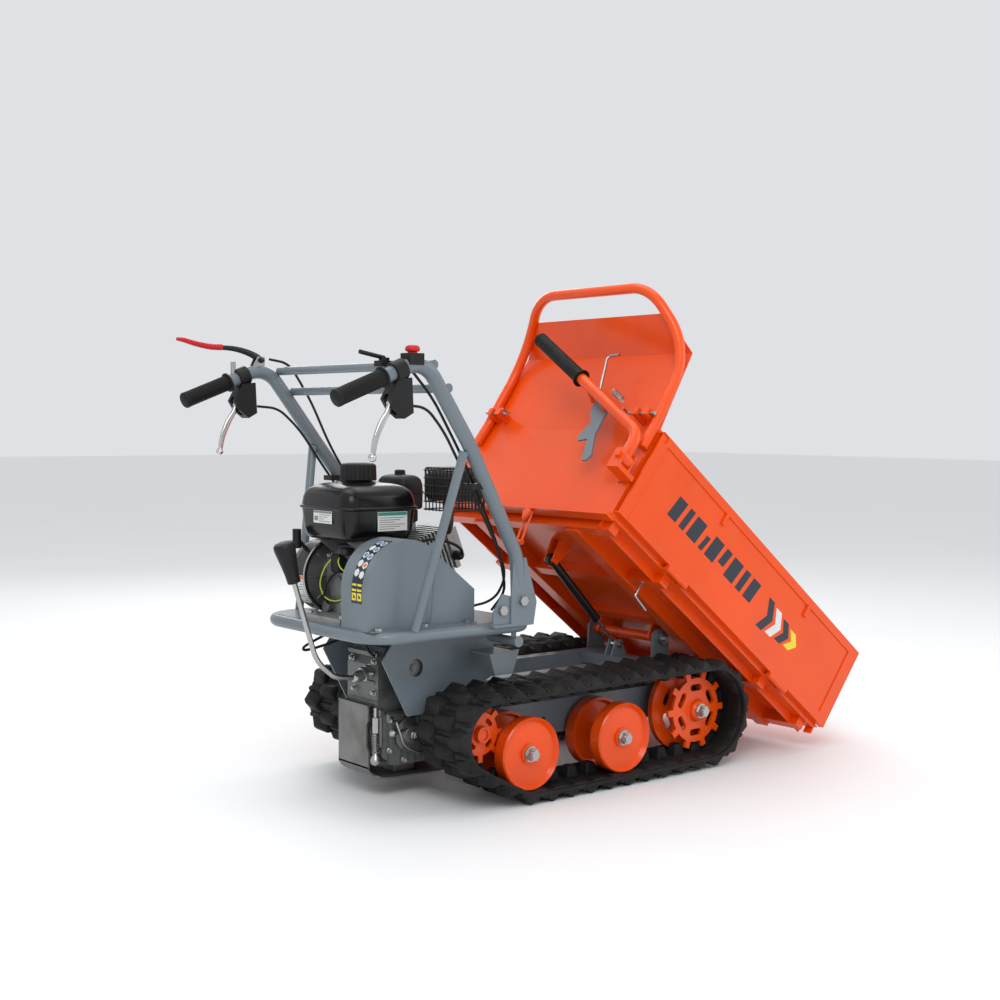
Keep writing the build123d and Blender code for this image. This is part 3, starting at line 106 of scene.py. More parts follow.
class Finish:
    """A procedural surface, worked out in the machine's own coordinates."""

    def __init__(self, name, colour, rough, metal=0.0, **constants):
        self.material = bpy.data.materials.new(name)
        self.material.use_nodes = True
        self.nodes = self.material.node_tree.nodes
        self.links = self.material.node_tree.links
        self.surface = self.nodes["Principled BSDF"]
        self.material.diffuse_color = (*colour, 1)
        self.place = self.add("ShaderNodeTexCoord", {}, {}, "Object")
        self.set("Base Color", (*colour, 1))
        self.set("Roughness", rough)
        self.set("Metallic", metal)
        for key, value in constants.items():
            self.set(key.replace("_", " "), value)

    def set(self, name, value):
        if isinstance(value, Sum):
            self.links.new(value.socket, self.surface.inputs[name])
        else:
            self.surface.inputs[name].default_value = value

    def add(self, kind, settings, inputs, out=0):
        node = self.nodes.new(kind)
        for key, value in settings.items():
            if key == "stops":
                ramp = node.color_ramp
                while len(ramp.elements) < len(value):
                    ramp.elements.new(0.5)
                for stop, (place, colour) in zip(ramp.elements, value):
                    stop.position = place
                    stop.color = colour
            else:
                setattr(node, key, value)
        for key, value in inputs.items():
            if isinstance(value, Sum):
                self.links.new(value.socket, node.inputs[key])
            else:
                node.inputs[key].default_value = value
        return Sum(self, node.outputs[out])

    def noise(self, scale, detail=3.0, rough=0.5, place=None):
        inputs = {"Vector": place or self.place, "Scale": scale, "Detail": detail, "Roughness": rough}
        return self.add("ShaderNodeTexNoise", {}, inputs)

    def stretched(self, x, y, z):
        return self.add("ShaderNodeMapping", {}, {"Vector": self.place, "Scale": (x, y, z)})

    def ramp(self, value, *stops):
        grey = [(place, (shade, shade, shade, 1)) for place, shade in stops]
        return self.add("ShaderNodeValToRGB", {"stops": grey}, {0: value})

    def blend(self, mask, first, second):
        inputs = {0: mask, 6: first, 7: second}
        return self.add("ShaderNodeMix", {"data_type": "RGBA"}, inputs, 2)

    def bump(self, height, strength, distance):
        inputs = {"Height": height, "Strength": strength, "Distance": distance}
        self.set("Normal", self.add("ShaderNodeBump", {}, inputs))


def tint(colour, share):
    return tuple(min(1.0, c * share) for c in colour) + (1,)


def paint(name, colour, rough=0.3, peel=0.10, dust=0.25, gloss=0.22):
    """Stove paint: faint cloudiness, orange peel, and dust dulling it in patches."""
    f = Finish(name, colour, rough, 0.0, Coat_Weight=gloss, Coat_Roughness=0.14, Specular_IOR_Level=0.3)
    cloud = f.ramp(f.noise(5.0, 4.0), (0.3, 0), (0.72, 1))
    base = f.blend(cloud, tint(colour, 0.92), tint(colour, 1.05))
    grime = f.ramp(f.noise(17.0, 6.0, 0.62), (0.54, 0), (0.74, 1))
    dull = tuple(0.75 * c + 0.25 * d for c, d in zip(colour, (0.22, 0.19, 0.16)))
    f.set("Base Color", f.blend(grime * dust, base, (*dull, 1)))
    f.set("Roughness", rough + 0.06 * cloud + 0.25 * grime * dust)
    f.bump(f.noise(520.0, 2.0) + 0.5 * f.noise(95.0, 2.0), peel, 0.0004)
    return f.material


def rubber(name, colour, rough=0.62, grain=0.35, dust=0.4):
    """Moulded rubber: fine grain, scuffs and pale dust in patches."""
    f = Finish(name, colour, rough, 0.0, Specular_IOR_Level=0.2)
    scuff = f.ramp(f.noise(38.0, 6.0, 0.65), (0.5, 0), (0.75, 1))
    film = f.ramp(f.noise(9.0, 4.0), (0.42, 0), (0.8, 1))
    worn = f.blend(scuff * 0.6, (*colour, 1), tint(colour, 2.0))
    f.set("Base Color", f.blend(film * dust, worn, (0.055, 0.053, 0.05, 1)))
    f.set("Roughness", rough - 0.12 * scuff + 0.15 * film)
    f.bump(f.noise(340.0, 4.0) + 0.6 * f.noise(60.0, 3.0), grain, 0.0009)
    return f.material


def plastic(name, colour, rough=0.42, grain=0.18):
    """Moulded plastic with a spark-eroded grain."""
    f = Finish(name, colour, rough, 0.0, Specular_IOR_Level=0.28)
    cloud = f.noise(14.0, 3.0)
    f.set("Base Color", f.blend(cloud, tint(colour, 0.8), tint(colour, 1.3)))
    f.set("Roughness", rough + 0.12 * f.noise(70.0, 3.0))
    f.bump(f.noise(900.0, 2.0), grain, 0.0003)
    return f.material


def plated(name, colour, rough, smear=0.2):
    """Plated steel: bright, with soft smears."""
    f = Finish(name, colour, rough, 1.0)
    smears = f.noise(24.0, 5.0, 0.6)
    f.set("Base Color", f.blend(smears, tint(colour, 0.82), tint(colour, 1.05)))
    f.set("Roughness", rough + smear * f.ramp(smears, (0.42, 0), (0.75, 1)))
    f.bump(f.noise(300.0, 2.0), 0.05, 0.0003)
    return f.material


def rolled(name, colour, rough, stain):
    """Bare rolled sheet with grain lines and a heat or oil stain."""
    f = Finish(name, colour, rough, 0.9)
    grain = f.noise(1.0, 4.0, 0.7, f.stretched(20.0, 20.0, 900.0))
    patch = f.ramp(f.noise(11.0, 5.0, 0.6), (0.4, 0), (0.7, 1))
    f.set("Base Color", f.blend(patch * 0.7, tint(colour, 1.0), (*stain, 1)))
    f.set("Roughness", rough + 0.15 * grain + 0.1 * patch)
    f.bump(grain, 0.08, 0.0004)
    return f.material


def casting(name, colour, rough=0.5, coarse=0.5):
    """Sand or die casting: pebbled skin, darker in scattered patches."""
    f = Finish(name, colour, rough, 0.85)
    pebble = f.noise(230.0, 4.0, 0.6)
    oil = f.ramp(f.noise(19.0, 5.0, 0.6), (0.5, 0), (0.72, 1))
    f.set("Base Color", f.blend(oil * 0.65, tint(colour, 1.0), tint(colour, 0.34)))
    f.set("Roughness", rough + 0.18 * pebble - 0.12 * oil)
    f.bump(pebble + 0.5 * f.noise(60.0, 3.0), coarse, 0.0009)
    return f.material


def print_film(name, colour, rough=0.3):
    """Printed film: even colour with a slight mottle."""
    f = Finish(name, colour, rough)
    mottle = f.noise(120.0, 4.0)
    f.set("Base Color", f.blend(mottle, tint(colour, 0.88), tint(colour, 1.04)))
    f.set("Roughness", rough + 0.15 * mottle)
    f.bump(mottle, 0.05, 0.0002)
    return f.material


ORANGE = (0.80, 0.074, 0.001)
finishes = {
    "orange_paint": paint("orange_stove_paint", ORANGE, 0.27),
    "grey_paint": paint("blue_grey_stove_paint", (0.150, 0.182, 0.205), 0.34),
    "black_paint": paint("black_frame_paint", (0.009, 0.009, 0.010), 0.33),
    "track_rubber": rubber("track_rubber", (0.009, 0.009, 0.0095)),
    "grip_rubber": rubber("grip_rubber", (0.007, 0.007, 0.007), 0.55, 0.25, 0.2),
    "chrome_steel": plated("lever_chrome", (0.62, 0.62, 0.61), 0.14),
    "zinc_steel": plated("bright_zinc", (0.46, 0.46, 0.45), 0.26),
    "bare_steel": rolled("bare_guard_steel", (0.24, 0.245, 0.235), 0.4, (0.13, 0.125, 0.11)),
    "cast_metal": casting("gearbox_casting", (0.20, 0.21, 0.205)),
    "cast_aluminium": casting("engine_casting", (0.40, 0.41, 0.40), 0.42, 0.4),
    "black_plastic": plastic("black_moulding", (0.008, 0.008, 0.0085)),
    "gloss_black": paint("tank_enamel", (0.004, 0.004, 0.0045), 0.2, 0.05, 0.12, 0.08),
    "red_plastic": plastic("red_moulding", (0.50, 0.016, 0.018), 0.32, 0.12),
    "cable_jacket": rubber("cable_jacket", (0.012, 0.012, 0.012), 0.42, 0.08, 0.1),
    "muffler_steel": rolled("muffler_sheet", (0.09, 0.085, 0.08), 0.5, (0.05, 0.04, 0.03)),
    "belt_rubber": rubber("belt_rubber", (0.02, 0.02, 0.02)),
}
slot_of = {row["node"]: row["material_slot"] for row in frame["record"]["subparts"]}
for name, node in frame["nodes"].items():
    node.data.materials.clear()
    node.data.materials.append(finishes[slot_of[name]])
ink = print_film("dark_ink", (0.012, 0.020, 0.035))
white_film = print_film("white_film", (0.72, 0.72, 0.70))
teal_film = print_film("teal_film", (0.02, 0.26, 0.20))
yellow_film = print_film("yellow_film", (0.80, 0.66, 0.02))
blue_film = print_film("blue_film", (0.05, 0.22, 0.46))
orange_film = print_film("orange_film", (0.75, 0.17, 0.02))
grey_print = print_film("grey_print", (0.22, 0.22, 0.22))
earth_wire = plastic("yellow_green_wire", (0.45, 0.55, 0.04), 0.4)
dark_casting = casting("dark_casting", (0.19, 0.195, 0.19), 0.42, 0.5)


# ---------------------------------------------------------------- shaping
class Shape:
    """Vertices and faces gathered for one piece."""

    def __init__(self):
        self.points = []
        self.faces = []
        self.marks = []
        self.mark = 0

    def rings(self, rings, closed_start=True, closed_end=True, loop=False):
        """Skin a row of rings with the same number of points."""
        first = len(self.points)
        size = len(rings[0])
        for ring in rings:
            self.points.extend(ring)
        spans = len(rings) if loop else len(rings) - 1
        for i in range(spans):
            a, b = first + i * size, first + ((i + 1) % len(rings)) * size
            for k in range(size):
                m = (k + 1) % size
                self.face(a + k, a + m, b + m, b + k)
        if closed_start and not loop:
            self.face(*[first + k for k in reversed(range(size))])
        if closed_end and not loop:
            self.face(*[first + (len(rings) - 1) * size + k for k in range(size)])

    def face(self, *corners):
        self.faces.append(corners)
        self.marks.append(self.mark)

    def lathe(self, start, end, profile, count=32, flute=None):
        """Turn (distance along, radius) pairs, in mm, about the line from start towards end."""
        axis = (end - start).normalized()
        side = axis.orthogonal().normalized()
        other = axis.cross(side)
        rings = []
        for along, radius in profile:
            ring = []
            for k in range(count):
                angle = 2 * math.pi * k / count
                r = radius * (flute(k, along) if flute else 1.0) / 1000
                ring.append(start + axis * (along / 1000) + (side * math.cos(angle) + other * math.sin(angle)) * r)
            rings.append(ring)
        self.rings(rings)

    def tube(self, path, radius, count=12):
        """Round tube along a row of points, radius in mm."""
        rings = []
        side = None
        for i, place in enumerate(path):
            ahead = path[min(i + 1, len(path) - 1)] - path[max(i - 1, 0)]
            ahead.normalize()
            side = ahead.orthogonal() if side is None else side - ahead * side.dot(ahead)
            side.normalize()
            other = ahead.cross(side)
            rings.append([place + (side * math.cos(a) + other * math.sin(a)) * (radius / 1000)
                          for a in (2 * math.pi * k / count for k in range(count))])
        self.rings(rings)

    def block(self, centre, along, across, up, half, chamfer):
        """Chamfered block: three unit directions and three half sizes in mm."""
        def ring(height, a, b):
            c = min(chamfer, a * 0.6, b * 0.6)
            corners = [(a, b - c), (a - c, b), (-a + c, b), (-a, b - c), (-a, -b + c), (-a + c, -b), (a - c, -b),
                       (a, -b + c)]
            return [centre + along * (x / 1000) + across * (y / 1000) + up * (height / 1000) for x, y in corners]

        a, b, h = half
        c = min(chamfer, h * 0.6)
        self.rings([ring(-h, a - c, b - c), ring(-h + c, a, b), ring(h - c, a, b), ring(h, a - c, b - c)])

    def hexbolt(self, place, axis, size=13.0, washer=1.15, dome=True):
        """Bolt head on its washer, standing on place; size is across the flats in mm."""
        axis = axis.normalized()
        end = place + axis
        rim = size * washer
        self.lathe(place, end, [(0, rim * 0.62), (1.6, rim * 0.62), (2.0, rim * 0.58)], 24)
        r = size / 2 / math.cos(math.pi / 6)
        top = size * 0.62 + 2
        self.lathe(place, end, [(1.5, r), (top - 1.2, r), (top, r * 0.86)], 6)
        if dome:
            self.lathe(place, end, [(top - 0.5, r * 0.62), (top + size * 0.12, r * 0.56),
                                    (top + size * 0.2, r * 0.36), (top + size * 0.24, r * 0.1)], 16)

    def bar(self, path, across, halves, count=20, square=0.75):
        """Flattened bar along a path: half sizes (in the path's plane, across it) in mm at each point."""
        rings = []
        for i, place in enumerate(path):
            ahead = path[min(i + 1, len(path) - 1)] - path[max(i - 1, 0)]
            ahead.normalize()
            side = across.cross(ahead).normalized()
            share = i / (len(path) - 1) * (len(halves) - 1)
            k = min(int(share), len(halves) - 2)
            deep, wide = (p + (q - p) * (share - k) for p, q in zip(halves[k], halves[k + 1]))
            ring = []
            for n in range(count):
                a = 2 * math.pi * n / count
                c, d = math.cos(a), math.sin(a)
                ring.append(place + side * (math.copysign(abs(c) ** square, c) * deep / 1000)
                            + across * (math.copysign(abs(d) ** square, d) * wide / 1000))
            rings.append(ring)
        self.rings(rings)

    def slab(self, outline, spot):
        """Flat plate: outline of (a, b) pairs, and spot(a, b, face) that places them on face 0 and face 1."""
        self.rings([[spot(a, b, 0) for a, b in outline], [spot(a, b, 1) for a, b in outline]])

    def piece(self, name, body, finish, smooth=35.0, replaces=()):
        """Make the piece, ride it on its body and smooth it up to an angle."""
        mesh = bpy.data.meshes.new(name)
        mesh.from_pydata([tuple(p) for p in self.points], [], self.faces)
        mats = finish if isinstance(finish, (list, tuple)) else [finish]
        for material in mats:
            mesh.materials.append(material)
        mesh.polygons.foreach_set("material_index", self.marks)
        mesh.validate()
        mesh.update()
        obj = bpy.data.objects.new(name, mesh)
        bpy.context.scene.collection.objects.link(obj)
        mesh.shade_smooth()
        mesh.set_sharp_from_angle(angle=math.radians(smooth))
        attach(obj, body)
        if replaces:
            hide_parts(*replaces)
        return obj


def through(points, steps=12):
    """Smooth row of points through the ones given (Catmull-Rom)."""
    pts = [Vector(p) for p in points]
    pts = [2 * pts[0] - pts[1]] + pts + [2 * pts[-1] - pts[-2]]
    out = []
    for i in range(1, len(pts) - 2):
        a, b, c, d = pts[i - 1:i + 3]
        for k in range(steps):
            t = k / steps
            out.append(0.5 * (2 * b + (c - a) * t + (2 * a - 5 * b + 4 * c - d) * t * t
                              + (3 * b - a - 3 * c + d) * t * t * t))
    out.append(pts[-2])
    return out


def rounded(points, radius, steps=6):
    """Row of points along straight runs, each corner turned by an arc of the radius, in metres."""
    out = [Vector(points[0])]
    for a, b, c in zip(points, points[1:], points[2:]):
        into, away = (a - b).normalized(), (c - b).normalized()
        half = into.angle(away) / 2
        reach = radius / math.tan(half)
        middle = b + (into + away).normalized() * (radius / math.sin(half))
        first, last = b + into * reach - middle, b + away * reach - middle
        turn = first.angle(last)
        for k in range(steps + 1):
            t = k / steps
            out.append(middle + (first * math.sin((1 - t) * turn) + last * math.sin(t * turn)) / math.sin(turn))
    out.append(Vector(points[-1]))
    return out


# ---------------------------------------------------------------- tracks
class BeltLine:
    """Outline of the rubber belt's inner face round its four wheels, run the way the wheels turn."""

    def __init__(self, wheels):
        self.spans = []
        normals = []
        for (x1, z1, r1), (x2, z2, r2) in zip(wheels, wheels[1:] + wheels[:1]):
            dx, dz = x2 - x1, z2 - z1
            length = math.hypot(dx, dz)
            ex, ez = dx / length, dz / length
            k = (r1 - r2) / length
            h = math.sqrt(1 - k * k)
            normals.append(math.atan2(ez * k - ex * h, ex * k + ez * h))
        for i, (x, z, r) in enumerate(wheels):
            a0, a1 = normals[i - 1], normals[i]
            while a1 < a0 - 1e-9:
                a1 += 2 * math.pi
            self.spans.append(("arc", x, z, r, a0, a1, r * (a1 - a0)))
            nx, nz, nr = wheels[(i + 1) % len(wheels)]
            start = (x + r * math.cos(a1), z + r * math.sin(a1))
            stop = (nx + nr * math.cos(a1), nz + nr * math.sin(a1))
            self.spans.append(("run", start, stop, 0, a1, a1, math.dist(start, stop)))
        self.length = sum(s[-1] for s in self.spans)

    def at(self, s, height):
        """X and Z, in mm, at a distance along the belt and a height above its inner face."""
        s = s % self.length
        for kind, p, q, r, a0, a1, length in self.spans:
            if s <= length or length == 0:
                break
            s -= length
        if kind == "arc":
            a = a0 + s / r
            return p + (r + height) * math.cos(a), q + (r + height) * math.sin(a)
        share = s / length
        x, z = p[0] + (q[0] - p[0]) * share, p[1] + (q[1] - p[1]) * share
        return x + height * math.cos(a0), z + height * math.sin(a0)


belt_line = BeltLine([SPROCKET, REAR_ROLLER, FRONT_ROLLER, IDLER])


def track_block(shape, s, middle, rings, turn=0.0):
    """Moulded block bent onto the belt: rings of (height, half length, half width, corner cut)."""
    skins = []
    for height, a, b, c in rings:
        corners = [(a, b - c), (a - c, b), (-a + c, b), (-a, b - c), (-a, -b + c), (-a + c, -b), (a - c, -b),
                   (a, -b + c)]
        ring = []
        for along, across in corners:
            x, z = belt_line.at(s + along + across * turn, height)
            ring.append(pt(x, middle + across, z))
        skins.append(ring)
    shape.rings(skins)


def rubber_track(side):
    """Rubber track: ribbed belt, staggered outer lugs with webs between, and the inner guide horns."""
    shape = Shape()
    mid = side * TRACK_Y
    profile = [(-90, 1.8), (-90, 7.0), (-88.2, 9.0), (-60, 9.0), (-30, 9.0), (0, 9.0), (30, 9.0), (60, 9.0),
               (88.2, 9.0), (90, 7.0), (90, 1.8), (88, 0.0), (79, 0.0), (77.5, 1.3), (75, 1.3), (73.5, 0.0),
               (24, 0.0), (22, 1.0), (-22, 1.0), (-24, 0.0), (-73.5, 0.0), (-75, 1.3), (-77.5, 1.3), (-79, 0.0),
               (-88, 0.0)]
    stations = 220
    loop = []
    for i in range(stations):
        s = belt_line.length * i / stations
        ring = []
        for y, height in profile:
            x, z = belt_line.at(s, height)
            ring.append(pt(x, mid + y, z))
        loop.append(ring)
    shape.rings(loop, loop=True)
    count = round(belt_line.length / PITCH)
    step = belt_line.length / count
    edge_lug = [(8.0, 21, 31, 4), (11.5, 20, 30, 5), (20.0, 9.5, 27.5, 5), (24.2, 6.0, 26, 5), (25.2, 4.6, 24.5, 4)]
    middle_lug = [(8.0, 18, 34, 6), (11.5, 17, 33, 6), (19.5, 10.5, 30, 6), (23.6, 8.0, 27, 6), (24.6, 6.4, 25, 5)]
    web = [(8.0, 6, 26, 2), (13.0, 4.6, 25, 2), (14.6, 3.2, 24, 2)]
    stud = [(8.0, 8, 9, 2.5), (14.5, 6.0, 7, 2.5), (16.2, 4.4, 5.4, 2)]
    horn = [(0.5, 17, 14.5, 2), (-17, 13.5, 13.6, 3), (-24.4, 11.0, 12, 4), (-26, 8.6, 9.6, 3.6)]
    pad = [(0.8, 20, 13, 3), (-2.6, 18, 11.5, 3), (-3.4, 16.5, 10.4, 3)]
    for i in range(count):
        s = i * step
        for way in (-1, 1):
            track_block(shape, s, mid + way * 58.6, edge_lug, -0.10 * way)
            track_block(shape, s + step / 2, mid + way * 64, web, 0.12 * way)
            track_block(shape, s + step / 2, mid + way * 47, stud)
        track_block(shape, s + step / 2, mid, middle_lug)
        track_block(shape, s, mid, web)
        track_block(shape, s, mid, horn)
        for way in (-1, 1):
            track_block(shape, s + step / 2, mid + way * 64, pad)
    name = "left" if side > 0 else "right"
    shape.piece("rubber_track_" + name, "chassis", finishes["track_rubber"], 30, ["track_" + name])


for hand in (-1, 1):
    rubber_track(hand)


# ---------------------------------------------------------------- tank and cap
def rounded_ring(x0, x1, y0, y1, z, corner, inset, count=6):
    """Rounded rectangle at a height, pulled in by an inset."""
    x0, x1, y0, y1 = x0 + inset, x1 - inset, y0 + inset, y1 - inset
    corner = max(4.0, min(corner - inset * 0.4, (x1 - x0) / 2 - 1, (y1 - y0) / 2 - 1))
    ring = []
    for cx, cy, a0 in ((x1 - corner, y1 - corner, 0), (x0 + corner, y1 - corner, 90),
                       (x0 + corner, y0 + corner, 180), (x1 - corner, y0 + corner, 270)):
        for k in range(count + 1):
            a = math.radians(a0 + 90 * k / count)
            ring.append(pt(cx + corner * math.cos(a), cy + corner * math.sin(a), z))
    return ring


def fuel_tank():
    """Pressed tank: two deep-drawn halves with a rolled seam, a raised filler seat and soft shoulders."""
    x0, x1, y0, y1 = -557.0, -355.0, -79.0, 135.0
    shape = Shape()
    levels = [(583, 30), (584.5, 19), (588, 13), (595, 9), (608, 6), (630, 4), (646, 2.5), (652, 1.5),
              (653.5, -1.8), (655, -2.8), (657.5, -2.8), (659, -1.8), (660.5, 1.5), (667, 2.2), (678, 3.6),
              (688, 7), (696, 13), (702, 21), (706.5, 31), (709.6, 44), (711.2, 60), (711.8, 78)]
    shape.rings([rounded_ring(x0, x1, y0, y1, z, 34, inset) for z, inset in levels])
    seat = pt(CAP_X, CAP_Y, 700)
    shape.lathe(seat, seat + Z, [(0, 58), (8, 55), (12, 50), (13.6, 40), (14, 31), (20, 30.2)], 48)
    shape.piece("pressed_tank", "chassis", finishes["gloss_black"], 40, ["fuel_tank"])


def filler_cap():
    """Fluted screw cap with a stepped top."""
    shape = Shape()

    def flute(k, along):
        return 0.955 if k % 4 in (0, 1) and 4 < along < 33 else 1.0

    low = pt(CAP_X, CAP_Y, 716)
    profile = [(0, 40.5), (2, 42), (3.5, 42), (4.5, 41.6), (32, 40.8), (34.5, 40), (37, 38), (39, 34),
               (39.6, 28), (38.6, 26), (38.6, 12), (39.6, 10), (39.8, 2)]
    shape.lathe(low, low + Z, profile, 96, flute)
    shape.piece("fluted_cap", "filler_cap", finishes["black_plastic"], 25, ["fuel_cap"])


def sticker(name, body, corner, right, up, size, header, rows=6, picture=0.0):
    """Generic printed plate: a coloured header, short grey bars and a small panel; no words."""
    width, height = size
    face = right.cross(up).normalized()
    shape = Shape()

    def patch(x0, x1, y0, y1, lift, mark):
        shape.mark = mark
        middle = corner + right * ((x0 + x1) / 2000) + up * ((y0 + y1) / 2000) + face * (lift / 1000)
        shape.block(middle, right, up, face, ((x1 - x0) / 2, (y1 - y0) / 2, 0.22), 0.12)

    patch(0, width, 0, height, 0.25, 0)
    patch(1, width - 1, height * 0.8, height - 1, 0.45, 1)
    clear = height * 0.74
    for i in range(rows):
        y = clear - (i + 0.6) * clear / (rows + 0.4)
        long = width * (0.92 - 0.17 * ((i * 7) % 3))
        patch(width * 0.05 + picture * width, long, y, y + clear / rows * 0.32, 0.45, 2)
    if picture:
        patch(width * 0.05, width * picture, clear * 0.25, clear * 0.75, 0.45, 2)
    shape.piece(name, body, [white_film, header, grey_print], 20)


fuel_tank()
filler_cap()
sticker("tank_side_plate", "chassis", pt(-474, -76.6, 606), X, Z, (80, 43), teal_film, 6)
sticker("tank_rear_plate", "chassis", pt(-555.0, 60, 622), -Y, Z, (76, 28), grey_print, 4, 0.25)


# ---------------------------------------------------------------- belt cover prints
def cover_rim(angle_or_z, lift):
    """Point on the cover's rim outline: height on the upright, then degrees round the dome."""
    dome_x, dome_r, spring = -478.0, 107.0, 489.0
    if angle_or_z < spring:
        return -585.0 - lift, angle_or_z
    a = math.radians((angle_or_z - spring) / dome_r * 180 / math.pi)
    return dome_x - (dome_r + lift) * math.cos(a), spring + (dome_r + lift) * math.sin(a)


def rim_patch(shape, s, y, outline, lift, mark):
    """Thin print wrapped on the rim: outline of (along, across) points about (s, y)."""
    shape.mark = mark
    lower = []
    upper = []
    for along, across in outline:
        for ring, h in ((lower, 0.05), (upper, lift)):
            x, z = cover_rim(s + along, h)
            ring.append(pt(x, y + across, z))
    shape.rings([lower, upper])


def cover_prints():
    """Strip of six-sided tiles and two yellow squares on the cover's rim."""
    shape = Shape()
    for i in range(24):
        s = 462 + i * 7
        rim_patch(shape, s + 3.5, -161, [(-3.5, -20), (3.5, -20), (3.5, 20), (-3.5, 20)], 0.3, 0)
    def six_sided(size, turn):
        corners = [math.radians(60 * k + turn) for k in range(6)]
        return [(size * math.cos(a), size * math.sin(a)) for a in corners]

    hexa, inner = six_sided(9.2, 0), six_sided(5.6, 30)
    tones = [1, 1, 2, 1, 3, 3, 3, 1, 3, 3]
    for i in range(10):
        s, y = 524 + (i // 2) * 22 + (i % 2) * 4, -171 + (i % 2) * 20
        rim_patch(shape, s, y, hexa, 0.5, 1)
        rim_patch(shape, s, y, inner, 0.7, tones[i])
    for s, y in ((476, -171), (476, -151), (496, -171), (496, -151)):
        rim_patch(shape, s, y, [(-8, -8), (8, -8), (8, 8), (-8, 8)], 0.5, 4)
        rim_patch(shape, s, y, [(-4, -5), (2, -2), (4, 4), (-3, 3)], 0.7, 0)
    shape.piece("cover_print_strip", "chassis", [ink, white_film, orange_film, blue_film, yellow_film], 20)


cover_prints()


# ---------------------------------------------------------------- grips
def ribbed_grip(shape, start, end, radius, length, ribs):
    profile = [(0, radius + 4), (1, radius + 5.2), (4, radius + 5.2), (5, radius + 4.2), (6, radius)]
    for i in range(ribs):
        s = 8 + (length - 20) * i / ribs
        w = (length - 20) / ribs
        profile += [(s, radius - 0.5), (s + w * 0.2, radius + 0.5), (s + w * 0.7, radius + 0.5),
                    (s + w * 0.9, radius - 0.5)]
    profile += [(length - 11, radius + 0.9), (length - 4, radius + 0.9), (length - 1.2, radius - 1.5),
                (length, radius - 5)]

    def flute(k, along):
        return 0.985 if k % 4 == 0 and 8 < along < length - 12 else 1.0

    shape.lathe(start, end, profile, 48, flute)


grips = Shape()
for hand in (-1, 1):
    a = pt(GRIP_START[0], hand * GRIP_START[1], GRIP_START[2])
    b = pt(GRIP_END[0], hand * GRIP_END[1], GRIP_END[2])
    along = (b - a).normalized()
    ribbed_grip(grips, a + along * 0.003, b, 17.8, 126, 16)
grips.piece("ribbed_grips", "chassis", finishes["grip_rubber"], 30, ["grips"])

bend, tip = bed_pt(-46, -314, 200), bed_pt(-150, 100, 416)
along = (tip - bend).normalized()
dump_grip = Shape()
ribbed_grip(dump_grip, bend + along * (tip - bend).length * 0.56, tip, 17.6, (tip - bend).length * 440 + 6, 20)
dump_grip.piece("ribbed_dump_grip", "dump_lever", finishes["grip_rubber"], 30, ["dump_grip"])

knob = Shape()
knob_profile = [(0, 12), (1, 14.4), (6, 14.8), (20, 15.4), (45, 18.6), (66, 22), (78, 23.8), (86, 23.6), (91, 20.5),
                (93, 14), (93.4, 5)]
knob.lathe(pt(-660, -30, 499.3), pt(-688, -30, 588), knob_profile, 40)
knob.piece("tapered_knob", "shift_lever", finishes["black_plastic"], 30, ["shift_knob"])


# ---------------------------------------------------------------- levers
def hand_levers():
    """Flattened, curved clutch levers with ball ends, the drive lever, its red sleeve, and the stop button."""
    for hand, name in ((1, "left"), (-1, "right")):
        shape = Shape()
        y = hand * LEVER_Y
        path = through([pt(-606, y, 891), pt(-616, y, 869), pt(-631, y, 845), pt(-645, y, 812), pt(-651, y, 781)])
        shape.bar(path, Y, [(6.5, 5.4), (6.2, 5.2), (7.4, 4.6), (6.6, 4.2), (5.2, 4.0)])
        ball = [(0, 3), (3, 5.6), (6, 7.8), (10, 8.8), (14, 8), (17, 5.6), (18.4, 2)]
        shape.lathe(pt(-651, y, 787), pt(-652.4, y, 777), ball, 24)
        shape.lathe(pt(-606, y - 7.5, 890), pt(-606, y + 7.5, 890), [(0, 8), (1, 9.2), (14, 9.2), (15, 8)], 28)
        shape.piece("curved_lever_" + name, "steering_" + name, finishes["chrome_steel"], 40,
                    ["steer_lever_" + name])
    arm = Shape()
    path = through([pt(x, DRIVE_Y, z) for x, z in ((-537, 990), (-552, 1001), (-580, 1012), (-615, 1019),
                                                   (-662, 1021))])
    arm.bar(path, Y, [(7.5, 5.0), (8.6, 5.0), (7.4, 5.0), (6.4, 5.2), (5.4, 5.6)])
    arm.hexbolt(pt(-545, DRIVE_Y - 10, 994), -Y, 10)
    arm.piece("curved_drive_arm", "drive_control", finishes["black_paint"], 40, ["drive_lever"])
    sleeve = Shape()
    path = through([pt(x, DRIVE_Y, z) for x, z in ((-646, 1021), (-676, 1021.5), (-712, 1027), (-742, 1034),
                                                   (-759, 1036))])
    sleeve.bar(path, Y, [(7.4, 8.6), (7.0, 8.8), (6.2, 8.6), (5.4, 7.8), (4.0, 5.4)])
    sleeve.piece("red_sleeve", "drive_control", finishes["red_plastic"], 50, ["drive_lever_sleeve"])
    button = Shape()
    low = pt(-556, -321, 987)
    cap = [(0, 9.8), (6, 9.8), (6.6, 13), (8, 15), (12, 15.4), (16, 14.4), (18.6, 11.6), (19.8, 7), (20.1, 2)]
    button.lathe(low, low + Z, cap, 40)
    button.piece("red_mushroom", "stop_switch", finishes["red_plastic"], 50, ["stop_button"])


hand_levers()


